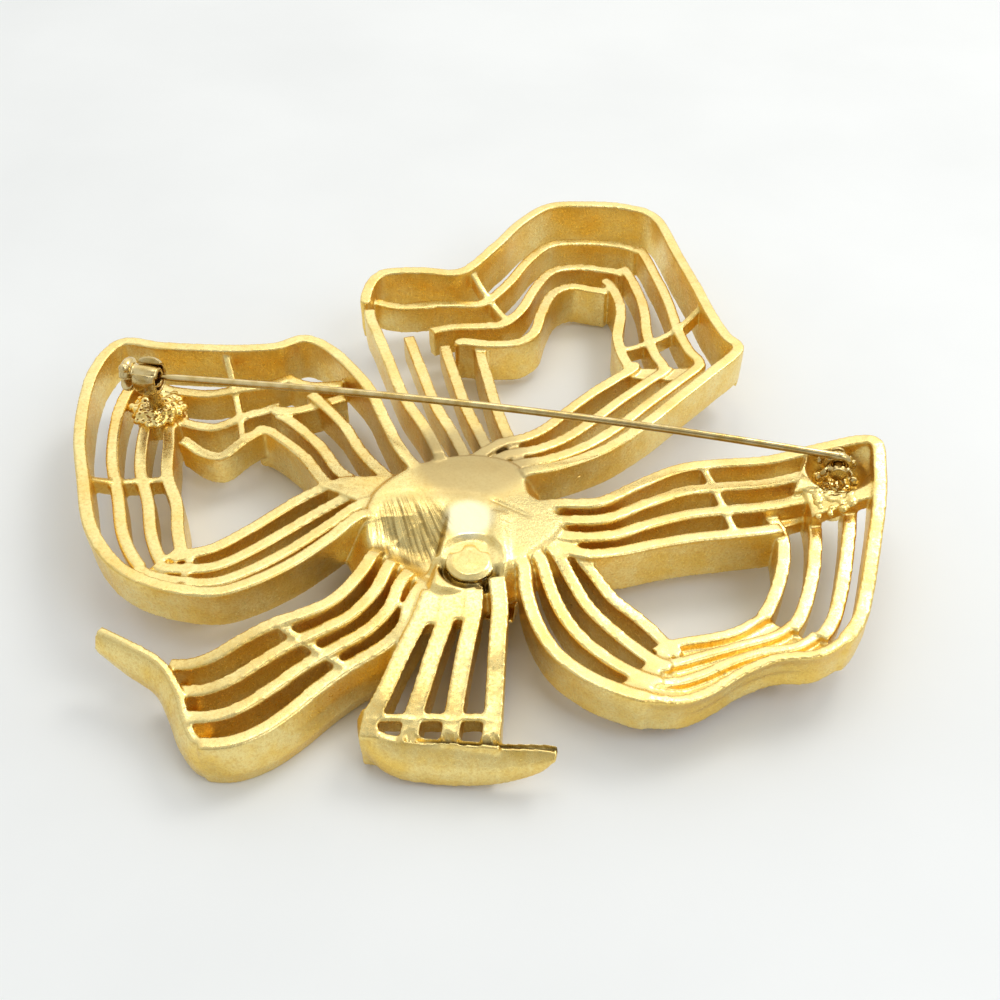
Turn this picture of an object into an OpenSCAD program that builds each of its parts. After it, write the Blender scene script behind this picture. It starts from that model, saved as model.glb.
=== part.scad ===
// Openwork ribbon bow brooch, lying face down with its pin on top.
// X runs along the pin, Y runs from the two tails to the top loop, Z points out of the brooch's back.

/* [Bow] */
// Reach of the side loops from the middle
reach_x = 42; // [34:1:50]
// Reach of the top loop and of the tails from the middle
reach_y = 42; // [34:1:50]
// Height that the ribbons' rise is counted in
rise = 10; // [9:0.5:12]
// Thickness of a slat
slat_t = 1.4; // [1.1:0.1:1.6]
// Depth of the slat along a ribbon's rim on the tails' side
rim_deep = 4.4; // [3.8:0.1:4.8]
// Depth of the slat along a ribbon's rim on the side of the top loop
high_rim_deep = 5.4; // [4.8:0.1:6]
// Depth of the slats in the middle of a ribbon
slat_deep = 3.6; // [2.8:0.1:4.2]
// Depth of the slat along a loop's opening
edge_deep = 5.2; // [4.4:0.1:5.4]
// Width of the bars that tie the slats
bar_w = 1.3; // [1:0.1:1.6]
// Depth of the bars that tie the slats
bar_deep = 2; // [1.4:0.1:2.6]
// Thickness of the solid sheet at the folds
web_t = 1.6; // [1.2:0.1:2.4]

/* [Hub] */
// Mean radius of the hub
hub_r = 10; // [8:0.5:12]
// Height of the hub's crown above the table
hub_top = 8.4; // [7.6:0.1:9]
// How far the hub falls from its crown to its edge
hub_fall = 1.4; // [1:0.1:1.8]
// Thickness of the hub at its crown
hub_t = 3.2; // [2.8:0.1:3.6]

/* [Knot] */
// Radius of the knot band's outer curve
knot_r = 9; // [8:0.5:11]
// Width of the knot band along the pin
knot_w = 9; // [6:0.5:10]
// Thickness of the knot band
knot_t = 1.4; // [1:0.1:1.8]
// Diameter of the post that holds the knot
post_d = 3; // [2:0.1:3.6]
// Diameter of the post's riveted head
head_d = 4.7; // [4:0.1:5.4]
// Height of the riveted head
head_h = 1; // [0.6:0.1:1.4]
// How far the riveted head's underside lies below the hub's crown
head_drop = 1; // [0.7:0.1:1.3]

/* [Pin] */
// Diameter of the pin's wire
wire_d = 0.8; // [0.6:0.05:1]
// Height of the wire's ends above the seats of the findings
wire_up = 4.2; // [4:0.1:4.6]
// How far the wire bows up in its middle
wire_bow = 1.4; // [0.8:0.1:2]
// Length of the wire's sharpened end
point_len = 4; // [2:0.5:6]
// Length of the straight shank behind the point
shank_len = 12; // [8:1:16]
// Diameter of the hinge rivet
rivet_d = 1; // [0.8:0.05:1.2]
// Thickness of each hinge cheek
cheek_t = 0.8; // [0.6:0.05:1]
// Radius of the hinge cheeks' rounded top
cheek_r = 1.5; // [1.3:0.1:1.7]
// Radius of the joint's base
joint_r = 2.1; // [1.9:0.1:2.3]

/* [Catch] */
// Outer radius of the catch's collar
collar_r = 2.1; // [2:0.05:2.4]
// Wall of the catch's collar
collar_t = 0.75; // [0.6:0.05:0.8]
// Width of the catch's collar along the pin
collar_w = 2.6; // [2.2:0.1:3]
// Wall of the turning sleeve
sleeve_t = 0.58; // [0.5:0.02:0.6]
// Radius of the sleeve's round flange
flange_r = 1.7; // [1.6:0.05:1.9]
// Thickness of the sleeve's flange
flange_t = 1.4; // [1:0.1:1.6]
// Opening of the catch, in degrees of its ring
slot_deg = 88; // [84:1:92]

/* [Fits] */
// Radial clearance of parts that turn in each other
turn_gap = 0.05; // [0.03:0.01:0.08]
// Gap between pieces that are only set together
set_gap = 0.02; // [0.01:0.01:0.05]
// Gap beside a part that turns
side_gap = 0.1; // [0.06:0.01:0.15]

/* [Hidden] */
$fn = 48;

// Colours
gold = "#e2bd5b";
finding = "#d9c68c";

// Each ribbon's edges, a row per fold or bend. The columns are the rim's x, y and z and the other edge's
// x, y and z. The lengths are shares of reach_x, reach_y and rise.
a_left = [
    [0.01, -0.275, 0.79, 0.155, -0.18, 0.76],
    [-0.03, -0.215, 0.85, 0.125, -0.105, 0.70],
    [-0.10, -0.10, 0.85, 0.08, -0.005, 0.65],
    [-0.18, 0.01, 0.85, 0.04, 0.095, 0.60],
    [-0.25, 0.14, 0.87, 0.00, 0.205, 0.56],
    [-0.305, 0.245, 0.87, -0.03, 0.285, 0.55],
    [-0.355, 0.35, 0.87, -0.05, 0.36, 0.54]];
a_top = [
    [-0.375, 0.385, 0.88, -0.10, 0.33, 0.60],
    [-0.36, 0.50, 0.93, -0.03, 0.335, 0.60],
    [-0.25, 0.53, 0.95, 0.045, 0.35, 0.60],
    [-0.135, 0.545, 0.95, 0.075, 0.365, 0.62],
    [-0.06, 0.67, 1.00, 0.10, 0.40, 0.65],
    [-0.005, 0.81, 1.00, 0.105, 0.48, 0.66],
    [0.065, 0.91, 1.00, 0.12, 0.59, 0.62],
    [0.17, 0.94, 1.00, 0.165, 0.65, 0.58],
    [0.29, 0.965, 0.95, 0.225, 0.655, 0.55],
    [0.385, 0.93, 0.92, 0.275, 0.65, 0.55]];
a_right = [
    [0.385, 0.93, 0.92, 0.265, 0.70, 0.56],
    [0.46, 0.76, 0.90, 0.31, 0.61, 0.58],
    [0.52, 0.615, 0.90, 0.325, 0.525, 0.60],
    [0.57, 0.485, 0.90, 0.325, 0.435, 0.60],
    [0.615, 0.39, 0.90, 0.345, 0.355, 0.60],
    [0.65, 0.335, 0.90, 0.37, 0.29, 0.60]];
a_low = [
    [0.65, 0.335, 0.90, 0.385, 0.31, 0.60],
    [0.585, 0.225, 0.90, 0.34, 0.245, 0.60],
    [0.51, 0.11, 0.90, 0.285, 0.175, 0.60],
    [0.435, -0.005, 0.90, 0.235, 0.10, 0.60],
    [0.345, -0.10, 0.85, 0.19, 0.01, 0.65],
    [0.245, -0.175, 0.85, 0.145, -0.05, 0.70],
    [0.155, -0.215, 0.83, 0.085, -0.095, 0.74],
    [0.10, -0.27, 0.78, 0.03, -0.17, 0.76]];
b_top = [
    [-0.96, 0.07, 0.95, -0.715, -0.18, 0.60],
    [-0.85, 0.075, 0.95, -0.655, -0.205, 0.55],
    [-0.745, 0.085, 0.95, -0.60, -0.21, 0.55],
    [-0.64, 0.10, 0.95, -0.56, -0.16, 0.60],
    [-0.55, 0.125, 0.95, -0.53, -0.12, 0.60],
    [-0.485, 0.17, 0.95, -0.515, -0.11, 0.60]];
b_right = [
    [-0.485, 0.17, 0.95, -0.53, -0.11, 0.60],
    [-0.40, 0.14, 0.92, -0.49, -0.12, 0.60],
    [-0.28, 0.025, 0.90, -0.39, -0.19, 0.60],
    [-0.21, -0.08, 0.85, -0.31, -0.28, 0.65],
    [-0.14, -0.185, 0.83, -0.235, -0.32, 0.72],
    [-0.05, -0.27, 0.78, -0.145, -0.37, 0.76]];
b_left = [
    [-0.96, 0.07, 0.95, -0.755, -0.135, 0.60],
    [-0.985, -0.06, 0.92, -0.735, -0.215, 0.60],
    [-0.93, -0.265, 0.90, -0.70, -0.315, 0.60],
    [-0.85, -0.43, 0.90, -0.645, -0.40, 0.60],
    [-0.775, -0.565, 0.90, -0.61, -0.485, 0.60],
    [-0.68, -0.66, 0.90, -0.575, -0.55, 0.60]];
b_low = [
    [-0.68, -0.66, 0.90, -0.59, -0.56, 0.60],
    [-0.58, -0.70, 0.88, -0.56, -0.55, 0.60],
    [-0.455, -0.70, 0.85, -0.505, -0.52, 0.60],
    [-0.38, -0.665, 0.85, -0.445, -0.45, 0.60],
    [-0.30, -0.59, 0.85, -0.375, -0.355, 0.60],
    [-0.235, -0.50, 0.85, -0.305, -0.295, 0.65],
    [-0.175, -0.40, 0.82, -0.235, -0.28, 0.72],
    [-0.075, -0.37, 0.77, -0.13, -0.275, 0.77]];
c_top = [
    [0.18, -0.31, 0.78, 0.24, -0.41, 0.76],
    [0.26, -0.295, 0.82, 0.335, -0.425, 0.74],
    [0.355, -0.28, 0.85, 0.415, -0.395, 0.70],
    [0.44, -0.195, 0.80, 0.49, -0.36, 0.70],
    [0.53, -0.125, 0.80, 0.575, -0.325, 0.70],
    [0.625, -0.09, 0.80, 0.655, -0.30, 0.70],
    [0.74, -0.07, 0.85, 0.73, -0.275, 0.70],
    [0.845, -0.035, 0.95, 0.785, -0.25, 0.68],
    [0.93, -0.03, 1.05, 0.80, -0.24, 0.66]];
c_right = [
    [0.93, -0.03, 1.05, 0.74, -0.20, 0.66],
    [0.985, -0.10, 1.02, 0.765, -0.23, 0.63],
    [0.985, -0.21, 0.98, 0.78, -0.26, 0.61],
    [0.975, -0.30, 0.92, 0.785, -0.30, 0.60],
    [0.965, -0.38, 0.87, 0.785, -0.345, 0.60],
    [0.955, -0.45, 0.82, 0.775, -0.41, 0.57],
    [0.94, -0.52, 0.79, 0.76, -0.465, 0.55],
    [0.91, -0.575, 0.76, 0.745, -0.50, 0.54]];
c_low = [
    [0.91, -0.575, 0.76, 0.755, -0.485, 0.54],
    [0.855, -0.625, 0.75, 0.73, -0.515, 0.54],
    [0.775, -0.64, 0.70, 0.685, -0.555, 0.54],
    [0.705, -0.68, 0.66, 0.635, -0.58, 0.54],
    [0.64, -0.735, 0.62, 0.58, -0.60, 0.54],
    [0.58, -0.77, 0.62, 0.54, -0.62, 0.54],
    [0.505, -0.78, 0.65, 0.52, -0.64, 0.54]];
c_left = [
    [0.155, -0.43, 0.78, 0.24, -0.36, 0.77],
    [0.205, -0.485, 0.79, 0.305, -0.41, 0.74],
    [0.225, -0.56, 0.75, 0.36, -0.46, 0.65],
    [0.26, -0.635, 0.70, 0.41, -0.515, 0.60],
    [0.31, -0.70, 0.67, 0.465, -0.55, 0.56],
    [0.38, -0.745, 0.65, 0.51, -0.585, 0.54],
    [0.45, -0.77, 0.65, 0.545, -0.62, 0.54],
    [0.505, -0.78, 0.65, 0.56, -0.63, 0.54]];
tail_d = [
    [-0.05, -0.38, 0.78, 0.02, -0.50, 0.76],
    [-0.115, -0.46, 0.80, -0.02, -0.62, 0.70],
    [-0.14, -0.57, 0.80, -0.025, -0.685, 0.65],
    [-0.175, -0.655, 0.80, -0.06, -0.735, 0.60],
    [-0.225, -0.705, 0.80, -0.12, -0.79, 0.56],
    [-0.29, -0.745, 0.78, -0.17, -0.85, 0.53],
    [-0.345, -0.79, 0.74, -0.215, -0.92, 0.52],
    [-0.395, -0.835, 0.69, -0.26, -0.975, 0.52],
    [-0.44, -0.855, 0.64, -0.31, -1.01, 0.52],
    [-0.49, -0.86, 0.60, -0.37, -1.025, 0.52]];
tail_e = [
    [0.02, -0.595, 0.75, 0.155, -0.54, 0.80],
    [0.01, -0.67, 0.70, 0.175, -0.61, 0.75],
    [-0.01, -0.76, 0.65, 0.185, -0.70, 0.70],
    [-0.025, -0.85, 0.60, 0.195, -0.78, 0.62],
    [-0.04, -0.905, 0.54, 0.205, -0.865, 0.55],
    [-0.04, -0.95, 0.49, 0.21, -0.935, 0.50]];

// Cut ends of the tails, a row per bend: the top edge's x, y and z, as shares like those above, then the
// depth and how far the foot stands out past the top edge, both as shares of edge_deep
d_end = [
    [-0.33, -1.015, 0.51, 0.80, 0.02],
    [-0.375, -1.015, 0.51, 0.92, 0.06],
    [-0.412, -0.975, 0.55, 0.90, 0.16],
    [-0.445, -0.92, 0.61, 0.78, 0.22],
    [-0.502, -0.866, 0.67, 0.76, 0.18],
    [-0.592, -0.832, 0.70, 0.72, 0.14],
    [-0.66, -0.81, 0.70, 0.50, 0.10]];
e_end = [
    [0.345, -0.905, 0.44, 0.42, 0.04],
    [0.32, -0.905, 0.45, 0.60, 0.14],
    [0.22, -0.918, 0.46, 0.72, 0.24],
    [0.11, -0.93, 0.47, 0.74, 0.24],
    [0.02, -0.94, 0.48, 0.70, 0.20],
    [-0.035, -0.925, 0.50, 0.66, 0.10],
    [-0.055, -0.885, 0.53, 0.62, 0.04]];

// Short slats that run on past the end of a ribbon, a list of points each: x, y and z as shares
ties = [
    [[-0.36, 0.43, 0.74], [-0.29, 0.425, 0.72], [-0.20, 0.455, 0.70]],
    [[-0.515, 0.075, 0.70], [-0.45, 0.055, 0.69], [-0.36, 0.075, 0.69]],
    [[-0.52, -0.04, 0.62], [-0.45, -0.025, 0.62], [-0.345, 0.04, 0.64]]];

// Slats of a ribbon, a row each: share of the way from the rim to the other edge, and the rows of the
// ribbon's table where the slat starts and ends, as shares of the ribbon's length
four_slats = [[0, 0, 1], [0.34, 0, 1], [0.67, 0, 1], [1, 0, 1]];
a_top_slats = [[0, 0, 1], [0.34, 0.12, 1], [0.67, 0.04, 1], [1, 0, 1]];
a_left_slats = [[0, 0, 1], [0.34, 0, 0.93], [0.67, 0, 0.93], [1, 0, 0.93]];
b_right_slats = [[0, 0, 1], [0.42, 0.22, 1], [0.78, 0.1, 1], [1, 0, 1]];
c_top_slats = [[0, 0, 1], [0.34, 0, 0.9], [0.67, 0, 0.93], [1, 0, 0.83]];
c_right_slats = [[0, 0, 1], [0.27, 0.18, 1], [0.63, 0.1, 1], [1, 0.02, 1]];

// Bars across a ribbon, a row each: share of the ribbon's length at the first and the last slat that it
// ties, then those slats' shares of the way across
a_top_bars = [[0.36, 0.36, 0, 0.67]];
a_right_bars = [[0.52, 0.76, 0, 1]];
b_top_bars = [[0.52, 0.60, 0, 1]];
b_left_bars = [[0.58, 0.42, 0, 1]];
b_low_bars = [[0.21, 0.17, 0, 1]];
c_top_bars = [[0.57, 0.65, 0, 1]];
d_bars = [[0.55, 0.45, 0, 1]];
e_bars = [[0.80, 0.80, 0, 1]];

// Solid sheet between slats, a row each: start and end along the ribbon, then across it, all as shares,
// and its depth below the back as a share of web_t
a_low_webs = [[0, 0.09, 0.33, 1, 0.25]];
b_top_webs = [[0, 0.22, 0.3, 0.7, 0.4]];
b_low_webs = [[0.01, 0.10, 0.05, 0.97, 0.3]];
c_top_webs = [[0.88, 1, 0.05, 0.4, 0.15]];
c_right_webs = [[0.02, 0.27, 0.04, 0.36, 0.2], [0.02, 0.12, 0.36, 0.97, 0.9]];
c_low_webs = [[0.04, 0.98, 0.04, 0.95, 0.5]];
c_left_webs = [[0.84, 0.97, 0.04, 0.96, 0.75]];
d_webs = [[0.94, 1, 0.02, 0.98, 0.4]];
e_webs = [[0.02, 0.24, 0.03, 0.97, 0.15], [0.93, 1, 0.02, 0.97, 0.25]];

// Power that lifts the rim above the other slats; 1 is a flat ribbon
curled = 3;
flat = 1;
// How far the bars and corner posts lie below the slats that they tie
sunk = 0.1;
// Length of the flat pieces that a curved wall is made of
piece = 2.6;

// The hub's outline: its radius every 30 degrees from +X, as shares of hub_r
hub_outline = [1.04, 0.82, 0.90, 0.88, 0.88, 0.95, 1.05, 1.00, 1.00, 1.10, 0.95, 0.94];
hub_at = [0.05 * reach_x, -0.35 * reach_y];
hub_turn = 20;
hub_rings = 3;

// Places of the findings and the post
pin_y = -0.09 * reach_y;
seat_z = 0.64 * rise;
catch_x = -0.81 * reach_x;
joint_x = 0.895 * reach_x;
post_at = [0.09 * reach_x, -0.505 * reach_y];
knot_y = -0.41 * reach_y;
seat_edge = 0.4;
seat_r = joint_r + seat_edge;
seat_deep = 2.6;
// Longer than anything that it cuts through
sky = 3 * rise;
// Moves the bow so that the middle of its box is the origin
mid_y = 0.03 * reach_y;

// The wire: an arc from the joint, then the straight shank and the point, which ends in the collar
wire_r = wire_d / 2;
wire_z = seat_z + wire_up;
wire_span = joint_x - catch_x;
arc_r = (wire_span * wire_span + 4 * wire_bow * wire_bow) / (8 * wire_bow);
arc_mid = [(joint_x + catch_x) / 2, wire_z - arc_r + wire_bow];
arc_from = asin((joint_x - arc_mid.x) / arc_r);
tip_x = catch_x - collar_w / 2 + 3 * side_gap;
shank_from = tip_x + point_len + shank_len;
arc_to = asin((shank_from - arc_mid.x) / arc_r);
tip_r = 0.08;
// Height of the wire's centre line where it passes the middle of the catch
catch_z = arc_mid.y + arc_r * cos(arc_to) + (shank_from - catch_x) * tan(arc_to);

// The hinge: the wire curls round the rivet, so the rivet lies below the wire
eye_wire_r = 1.06 * wire_r;
arc_wire_r = 0.98 * wire_r;
lap = 0.2;
eye_r = rivet_d / 2 + turn_gap + eye_wire_r;
hinge_z = wire_z - eye_r;
eye_gap = 2 * eye_wire_r + 2 * side_gap;
cheek_top = 0.7;
base_h = 0.6;

// The catch: a collar with a slot at its top, and a sleeve that turns in it. The catch is shut, so the
// sleeve's own slot lies a quarter turn from the collar's.
bore_r = collar_r - collar_t;
sleeve_r = bore_r - turn_gap;
slot_mid = 88;
tab_deg = 60;
shut_turn = 90;
tab_r = 0.55;
foot = [1.6, 1.2];
catch_base_r = 1.6;

// The knot: a band across the front, held by a post whose end is riveted over on the back
knot_rise = 3.2;
pocket_gap = 0.15;
head_z = hub_top - head_drop;
spot_edge = 0.2;

function mix(a, b, t) = a + (b - a) * t;
function bend(a, b, c, d, t) =
    0.5 * (2 * b + (c - a) * t + (2 * a - 5 * b + 4 * c - d) * t * t + (3 * b - a - 3 * c + d) * t * t * t);
function row_at(rows, share) =
    let (n = len(rows) - 1, u = share * n, i = min(floor(u), n - 1))
    bend(rows[max(i - 1, 0)], rows[i], rows[i + 1], rows[min(i + 2, n)], u - i);
function sized(r) = [r[0] * reach_x, r[1] * reach_y, r[2] * rise];
function rim_part(r) = [r[0], r[1], r[2]];
function edge_part(r) = [r[3], r[4], r[5]];

// Point on a ribbon's back: share along it, and share across it from the rim
function on_ribbon(rows, curl, along, across) =
    let (r = row_at(rows, along), rim = sized(rim_part(r)), edge = sized(edge_part(r)))
    [mix(rim.x, edge.x, across), mix(rim.y, edge.y, across), mix(edge.z, rim.z, pow(1 - across, curl))];

function slat_points(rows, curl, slat, n) =
    [for (k = [0:n]) on_ribbon(rows, curl, mix(slat[1], slat[2], k / n), slat[0])];
function run(line, i = 1) = i < len(line) ? norm(line[i] - line[i - 1]) + run(line, i + 1) : 0;
function slat_line(rows, curl, slat) =
    let (rough = run(slat_points(rows, curl, slat, 2 * len(rows))))
    slat_points(rows, curl, slat, max(3, ceil(rough / piece)));

function flat_unit(v) = let (m = sqrt(v.x * v.x + v.y * v.y)) [v.x / m, v.y / m, 0];
function side_at(line, i) =
    let (d = flat_unit(line[min(i + 1, len(line) - 1)] - line[max(i - 1, 0)]))
    [-d.y, d.x, 0];

// A closed skin over rings of equal size. Each ring is a list of points, out along one side and back along
// the other, so that its ends close with straight strips.
module skin(rings_of_points) {
    n = len(rings_of_points);
    m = len(rings_of_points[0]);
    points = [for (ring = rings_of_points) each ring];
    sides = [for (i = [0:n - 2], j = [0:m - 1])
        let (a = i * m + j, b = i * m + (j + 1) % m, c = a + m, d = b + m)
        each [[a, b, d], [a, d, c]]];
    last = (n - 1) * m;
    start = [for (j = [0:m / 2 - 2]) each [[j, m - 1 - j, m - 2 - j], [j, m - 2 - j, j + 1]]];
    end = [for (j = [0:m / 2 - 2])
        each [[last + j, last + j + 1, last + m - 2 - j], [last + j, last + m - 2 - j, last + m - 1 - j]]];
    polyhedron(points, concat(sides, start, end));
}

// An upright wall whose top follows a line
module wall(line, deep, thick) {
    uneven_wall(line, [for (p = line) [deep, 0]], thick);
}

// The same with two more values for each point: the depth, and how far the foot stands out to the left
module uneven_wall(line, feet, thick) {
    skin([for (i = [0:len(line) - 1])
        let (p = line[i], way = side_at(line, i), s = way * thick / 2,
            low = way * feet[i][1] - [0, 0, min(feet[i][0], p.z)])
        [p - s, p + s, p + s + low, p - s + low]]);
}

module slats(rows, curl, table, deep, edge) {
    for (slat = table)
        wall(slat_line(rows, curl, slat), slat[0] == 0 ? deep : slat[0] == 1 ? edge : slat_deep, slat_t);
}

// Upright posts that close the corner where two ribbons meet at a fold
module corner(row, deep) {
    for (end = [concat(sized(rim_part(row)), deep), concat(sized(edge_part(row)), edge_deep)])
        translate([end[0], end[1], end[2] - min(end[3], end[2]) + sunk]) rotate([0, 0, 10])
            cylinder(d = 1.1 * slat_t, h = min(end[3], end[2]) - 2 * sunk, $fn = 6);
}

module bar_end(p) {
    translate([p.x, p.y, p.z - bar_deep - sunk]) rotate([0, 0, 20]) cylinder(d = bar_w, h = bar_deep, $fn = 4);
}

// A bar is a chain of short spans, so that it follows the ribbon's curl
module bars(rows, curl, table) {
    spans = 2;
    for (bar = table, k = [0:spans - 1]) hull() {
        for (t = [k / spans, (k + 1) / spans])
            bar_end(on_ribbon(rows, curl, mix(bar[0], bar[1], t), mix(bar[2], bar[3], t)));
    }
}

// True where a ribbon's rim lies on the left of its way
function rim_left(rows) =
    let (way = rows[1] - rows[0], over = rim_part(rows[0]) - edge_part(rows[0]))
    way.x * over.y - way.y * over.x > 0;

// A sheet that fills part of a ribbon
module webs(rows, curl, table) {
    wide = 2;
    for (web = table) {
        steps = max(2, ceil((web[1] - web[0]) * len(rows)));
        drop = web[4] * web_t;
        right = rim_left(rows) ? web[3] : web[2];
        left = rim_left(rows) ? web[2] : web[3];
        skin([for (i = [0:steps])
            let (line = [for (j = [0:wide])
                on_ribbon(rows, curl, mix(web[0], web[1], i / steps), mix(right, left, j / wide))])
            concat([for (p = line) p - [0, 0, drop]], [for (j = [wide:-1:0]) line[j] - [0, 0, drop + web_t]])]);
    }
}

module ribbon(rows, curl, slat_table = four_slats, bar_table = [], web_table = [],
        deep = rim_deep, edge = edge_deep) {
    slats(rows, curl, slat_table, deep, edge);
    bars(rows, curl, bar_table);
    webs(rows, curl, web_table);
}

module cut_end(rows) {
    n = 2 * (len(rows) - 1);
    at = [for (k = [0:n]) row_at(rows, k / n)];
    uneven_wall([for (r = at) sized(r)], [for (r = at) [r[3], r[4]] * edge_deep], slat_t);
}

// The hub is a shallow dome of even rings over a flat underside
function hub_radius(deg) =
    let (u = deg / 30, i = floor(u), n = len(hub_outline))
    hub_r * bend(hub_outline[(i + n - 1) % n], hub_outline[i % n], hub_outline[(i + 1) % n],
        hub_outline[(i + 2) % n], u - i);
function hub_ring(share, z) =
    [for (deg = [0:hub_turn:359])
        [hub_at.x + share * hub_radius(deg) * cos(deg), hub_at.y + share * hub_radius(deg) * sin(deg), z]];
module hub() {
    first = 0.12;
    shares = [for (k = [0:hub_rings]) mix(first, 1, k / hub_rings)];
    skin(concat([for (s = shares) hub_ring(s, hub_top - hub_fall * s * s)], [hub_ring(1, hub_top - hub_t)]));
}

module seat(x) {
    translate([x, pin_y, seat_z - seat_deep]) cylinder(r = seat_r, h = seat_deep, $fn = 32);
}

module casting() {
    ribbon(a_left, curled, a_left_slats);
    ribbon(a_top, curled, a_top_slats, a_top_bars, deep = high_rim_deep);
    ribbon(a_right, curled, bar_table = a_right_bars, deep = high_rim_deep);
    ribbon(a_low, curled, web_table = a_low_webs);
    ribbon(b_top, curled, bar_table = b_top_bars, web_table = b_top_webs, deep = high_rim_deep,
        edge = slat_deep);
    ribbon(b_right, curled, b_right_slats, deep = high_rim_deep);
    ribbon(b_left, curled, bar_table = b_left_bars);
    ribbon(b_low, curled, bar_table = b_low_bars, web_table = b_low_webs);
    ribbon(c_top, flat, c_top_slats, c_top_bars, c_top_webs);
    ribbon(c_right, curled, c_right_slats, web_table = c_right_webs);
    ribbon(c_low, curled, web_table = c_low_webs);
    ribbon(c_left, flat, web_table = c_left_webs);
    ribbon(tail_d, flat, bar_table = d_bars, web_table = d_webs);
    ribbon(tail_e, flat, bar_table = e_bars, web_table = e_webs);
    for (row = [a_top[0], a_right[0], a_low[0], b_right[0], b_left[0], b_low[0], c_right[0], c_low[0], c_left[7]])
        corner(row, rim_deep);
    for (tie = ties) wall([for (p = tie) sized(p)], slat_deep, slat_t);
    cut_end(d_end);
    cut_end(e_end);
    hub();
    seat(catch_x);
    seat(joint_x);
}

// Room for the knot band, the post and its head
module knot_room() {
    translate([post_at.x, knot_y, knot_rise + pocket_gap - sky / 2])
        cube([knot_w + 2 * pocket_gap, 2 * knot_chord() + 2 * pocket_gap, sky], center = true);
    translate([post_at.x, post_at.y, 0]) cylinder(r = post_d / 2 + set_gap, h = sky, $fn = 32);
    translate([post_at.x, post_at.y, head_z]) cylinder(r = head_d / 2 + spot_edge, h = sky, $fn = 32);
}

// The pin joint and the catch's collar are soldered to the casting, so they are one solid with it
module bow() {
    color(gold) difference() {
        casting();
        for (x = [catch_x, joint_x])
            translate([x, pin_y, seat_z]) cylinder(r = seat_r + sunk, h = sky, $fn = 32);
        knot_room();
    }
    pin_joint($fn = 36);
    catch_collar($fn = 36);
}

// Half the knot band's length across the bow, where it ends at knot_rise
function knot_chord() = sqrt(knot_r * knot_r - pow(knot_r - knot_rise, 2));

module knot() {
    color(gold) {
        intersection() {
            translate([post_at.x, knot_y, knot_r]) rotate([0, 90, 0]) difference() {
                cylinder(r = knot_r, h = knot_w, center = true, $fn = 96);
                cylinder(r = knot_r - knot_t, h = 2 * knot_w, center = true, $fn = 96);
            }
            translate([post_at.x, knot_y, 0]) cube([sky, sky, 2 * knot_rise], center = true);
        }
        low = knot_r - sqrt(pow(knot_r - knot_t / 2, 2) - pow(post_at.y - knot_y, 2));
        translate([post_at.x, post_at.y, low]) cylinder(d = post_d, h = head_z + head_h / 2 - low);
        translate([post_at.x, post_at.y, head_z + set_gap]) cylinder(d = head_d, h = head_h - set_gap);
    }
}

module across_pin(r, h) {
    rotate([90, 0, 0]) cylinder(r = r, h = h, center = true);
}

module pin_joint() {
    color(finding) translate([joint_x, pin_y, seat_z]) {
        translate([0, 0, -sunk]) cylinder(r = joint_r, h = base_h + sunk);
        difference() {
            for (side = [-1, 1])
                translate([0, side * (eye_gap + cheek_t) / 2, 0]) rotate([90, 0, 0])
                    linear_extrude(cheek_t, center = true) intersection() {
                        union() {
                            translate([0, hinge_z - seat_z]) circle(r = cheek_r);
                            translate([-cheek_r, 0]) square([2 * cheek_r, hinge_z - seat_z]);
                        }
                        translate([-cheek_r, 0]) square([2 * cheek_r, hinge_z - seat_z + cheek_top]);
                    }
            translate([0, 0, hinge_z - seat_z]) across_pin(rivet_d / 2 + set_gap, sky);
        }
    }
}

module hinge_rivet() {
    body = eye_gap + 2 * cheek_t + 2 * set_gap;
    cap_r = 0.8 * rivet_d;
    cap_h = 0.3;
    color(finding) translate([joint_x, pin_y, hinge_z]) {
        across_pin(rivet_d / 2, body);
        for (side = [-1, 1]) translate([0, side * (body + cap_h) / 2, 0]) across_pin(cap_r, cap_h);
    }
}

module pin_stem() {
    color(finding) {
        translate([joint_x, pin_y, hinge_z]) rotate([90, 0, 0]) rotate_extrude()
            translate([eye_r, 0]) circle(r = eye_wire_r);
        translate([arc_mid.x, pin_y, arc_mid.y]) rotate([90, 0, 0]) rotate([0, 0, 90 - arc_from])
            rotate_extrude(angle = arc_from - arc_to, $fn = 720) translate([arc_r, 0]) circle(r = arc_wire_r, $fn = 24);
        translate([shank_from, pin_y, arc_mid.y + arc_r * cos(arc_to)]) rotate([0, -90 + arc_to, 0]) {
            translate([0, 0, -lap]) cylinder(r = wire_r, h = shank_len / cos(arc_to) + lap);
            translate([0, 0, shank_len / cos(arc_to)])
                cylinder(r1 = wire_r, r2 = tip_r, h = point_len / cos(arc_to));
        }
    }
}

// A wedge along X that opens a ring towards the back; degrees count from -Y towards +Z
module slot(length) {
    arm = 2 * collar_r;
    rotate([90, 0, 90]) linear_extrude(length, center = true)
        polygon([[0, 0], for (k = [0:3]) let (deg = 180 - slot_mid - slot_deg / 2 + k * slot_deg / 3)
            [arm * cos(deg), arm * sin(deg)]]);
}

module along_pin(r, from, to) {
    translate([from, 0, 0]) rotate([0, 90, 0]) cylinder(r = r, h = to - from);
}

module catch_collar() {
    half = collar_w / 2;
    color(finding) translate([catch_x, pin_y, catch_z]) {
        translate([0, 0, seat_z - catch_z - sunk]) cylinder(r = catch_base_r, h = base_h + sunk);
        difference() {
            union() {
                along_pin(collar_r, -half, half);
                translate([-foot.x / 2, -foot.y / 2, seat_z - catch_z])
                    cube([foot.x, foot.y, catch_z - seat_z - bore_r]);
            }
            along_pin(bore_r, -collar_w, collar_w);
            slot(2 * collar_w);
        }
    }
}

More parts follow.
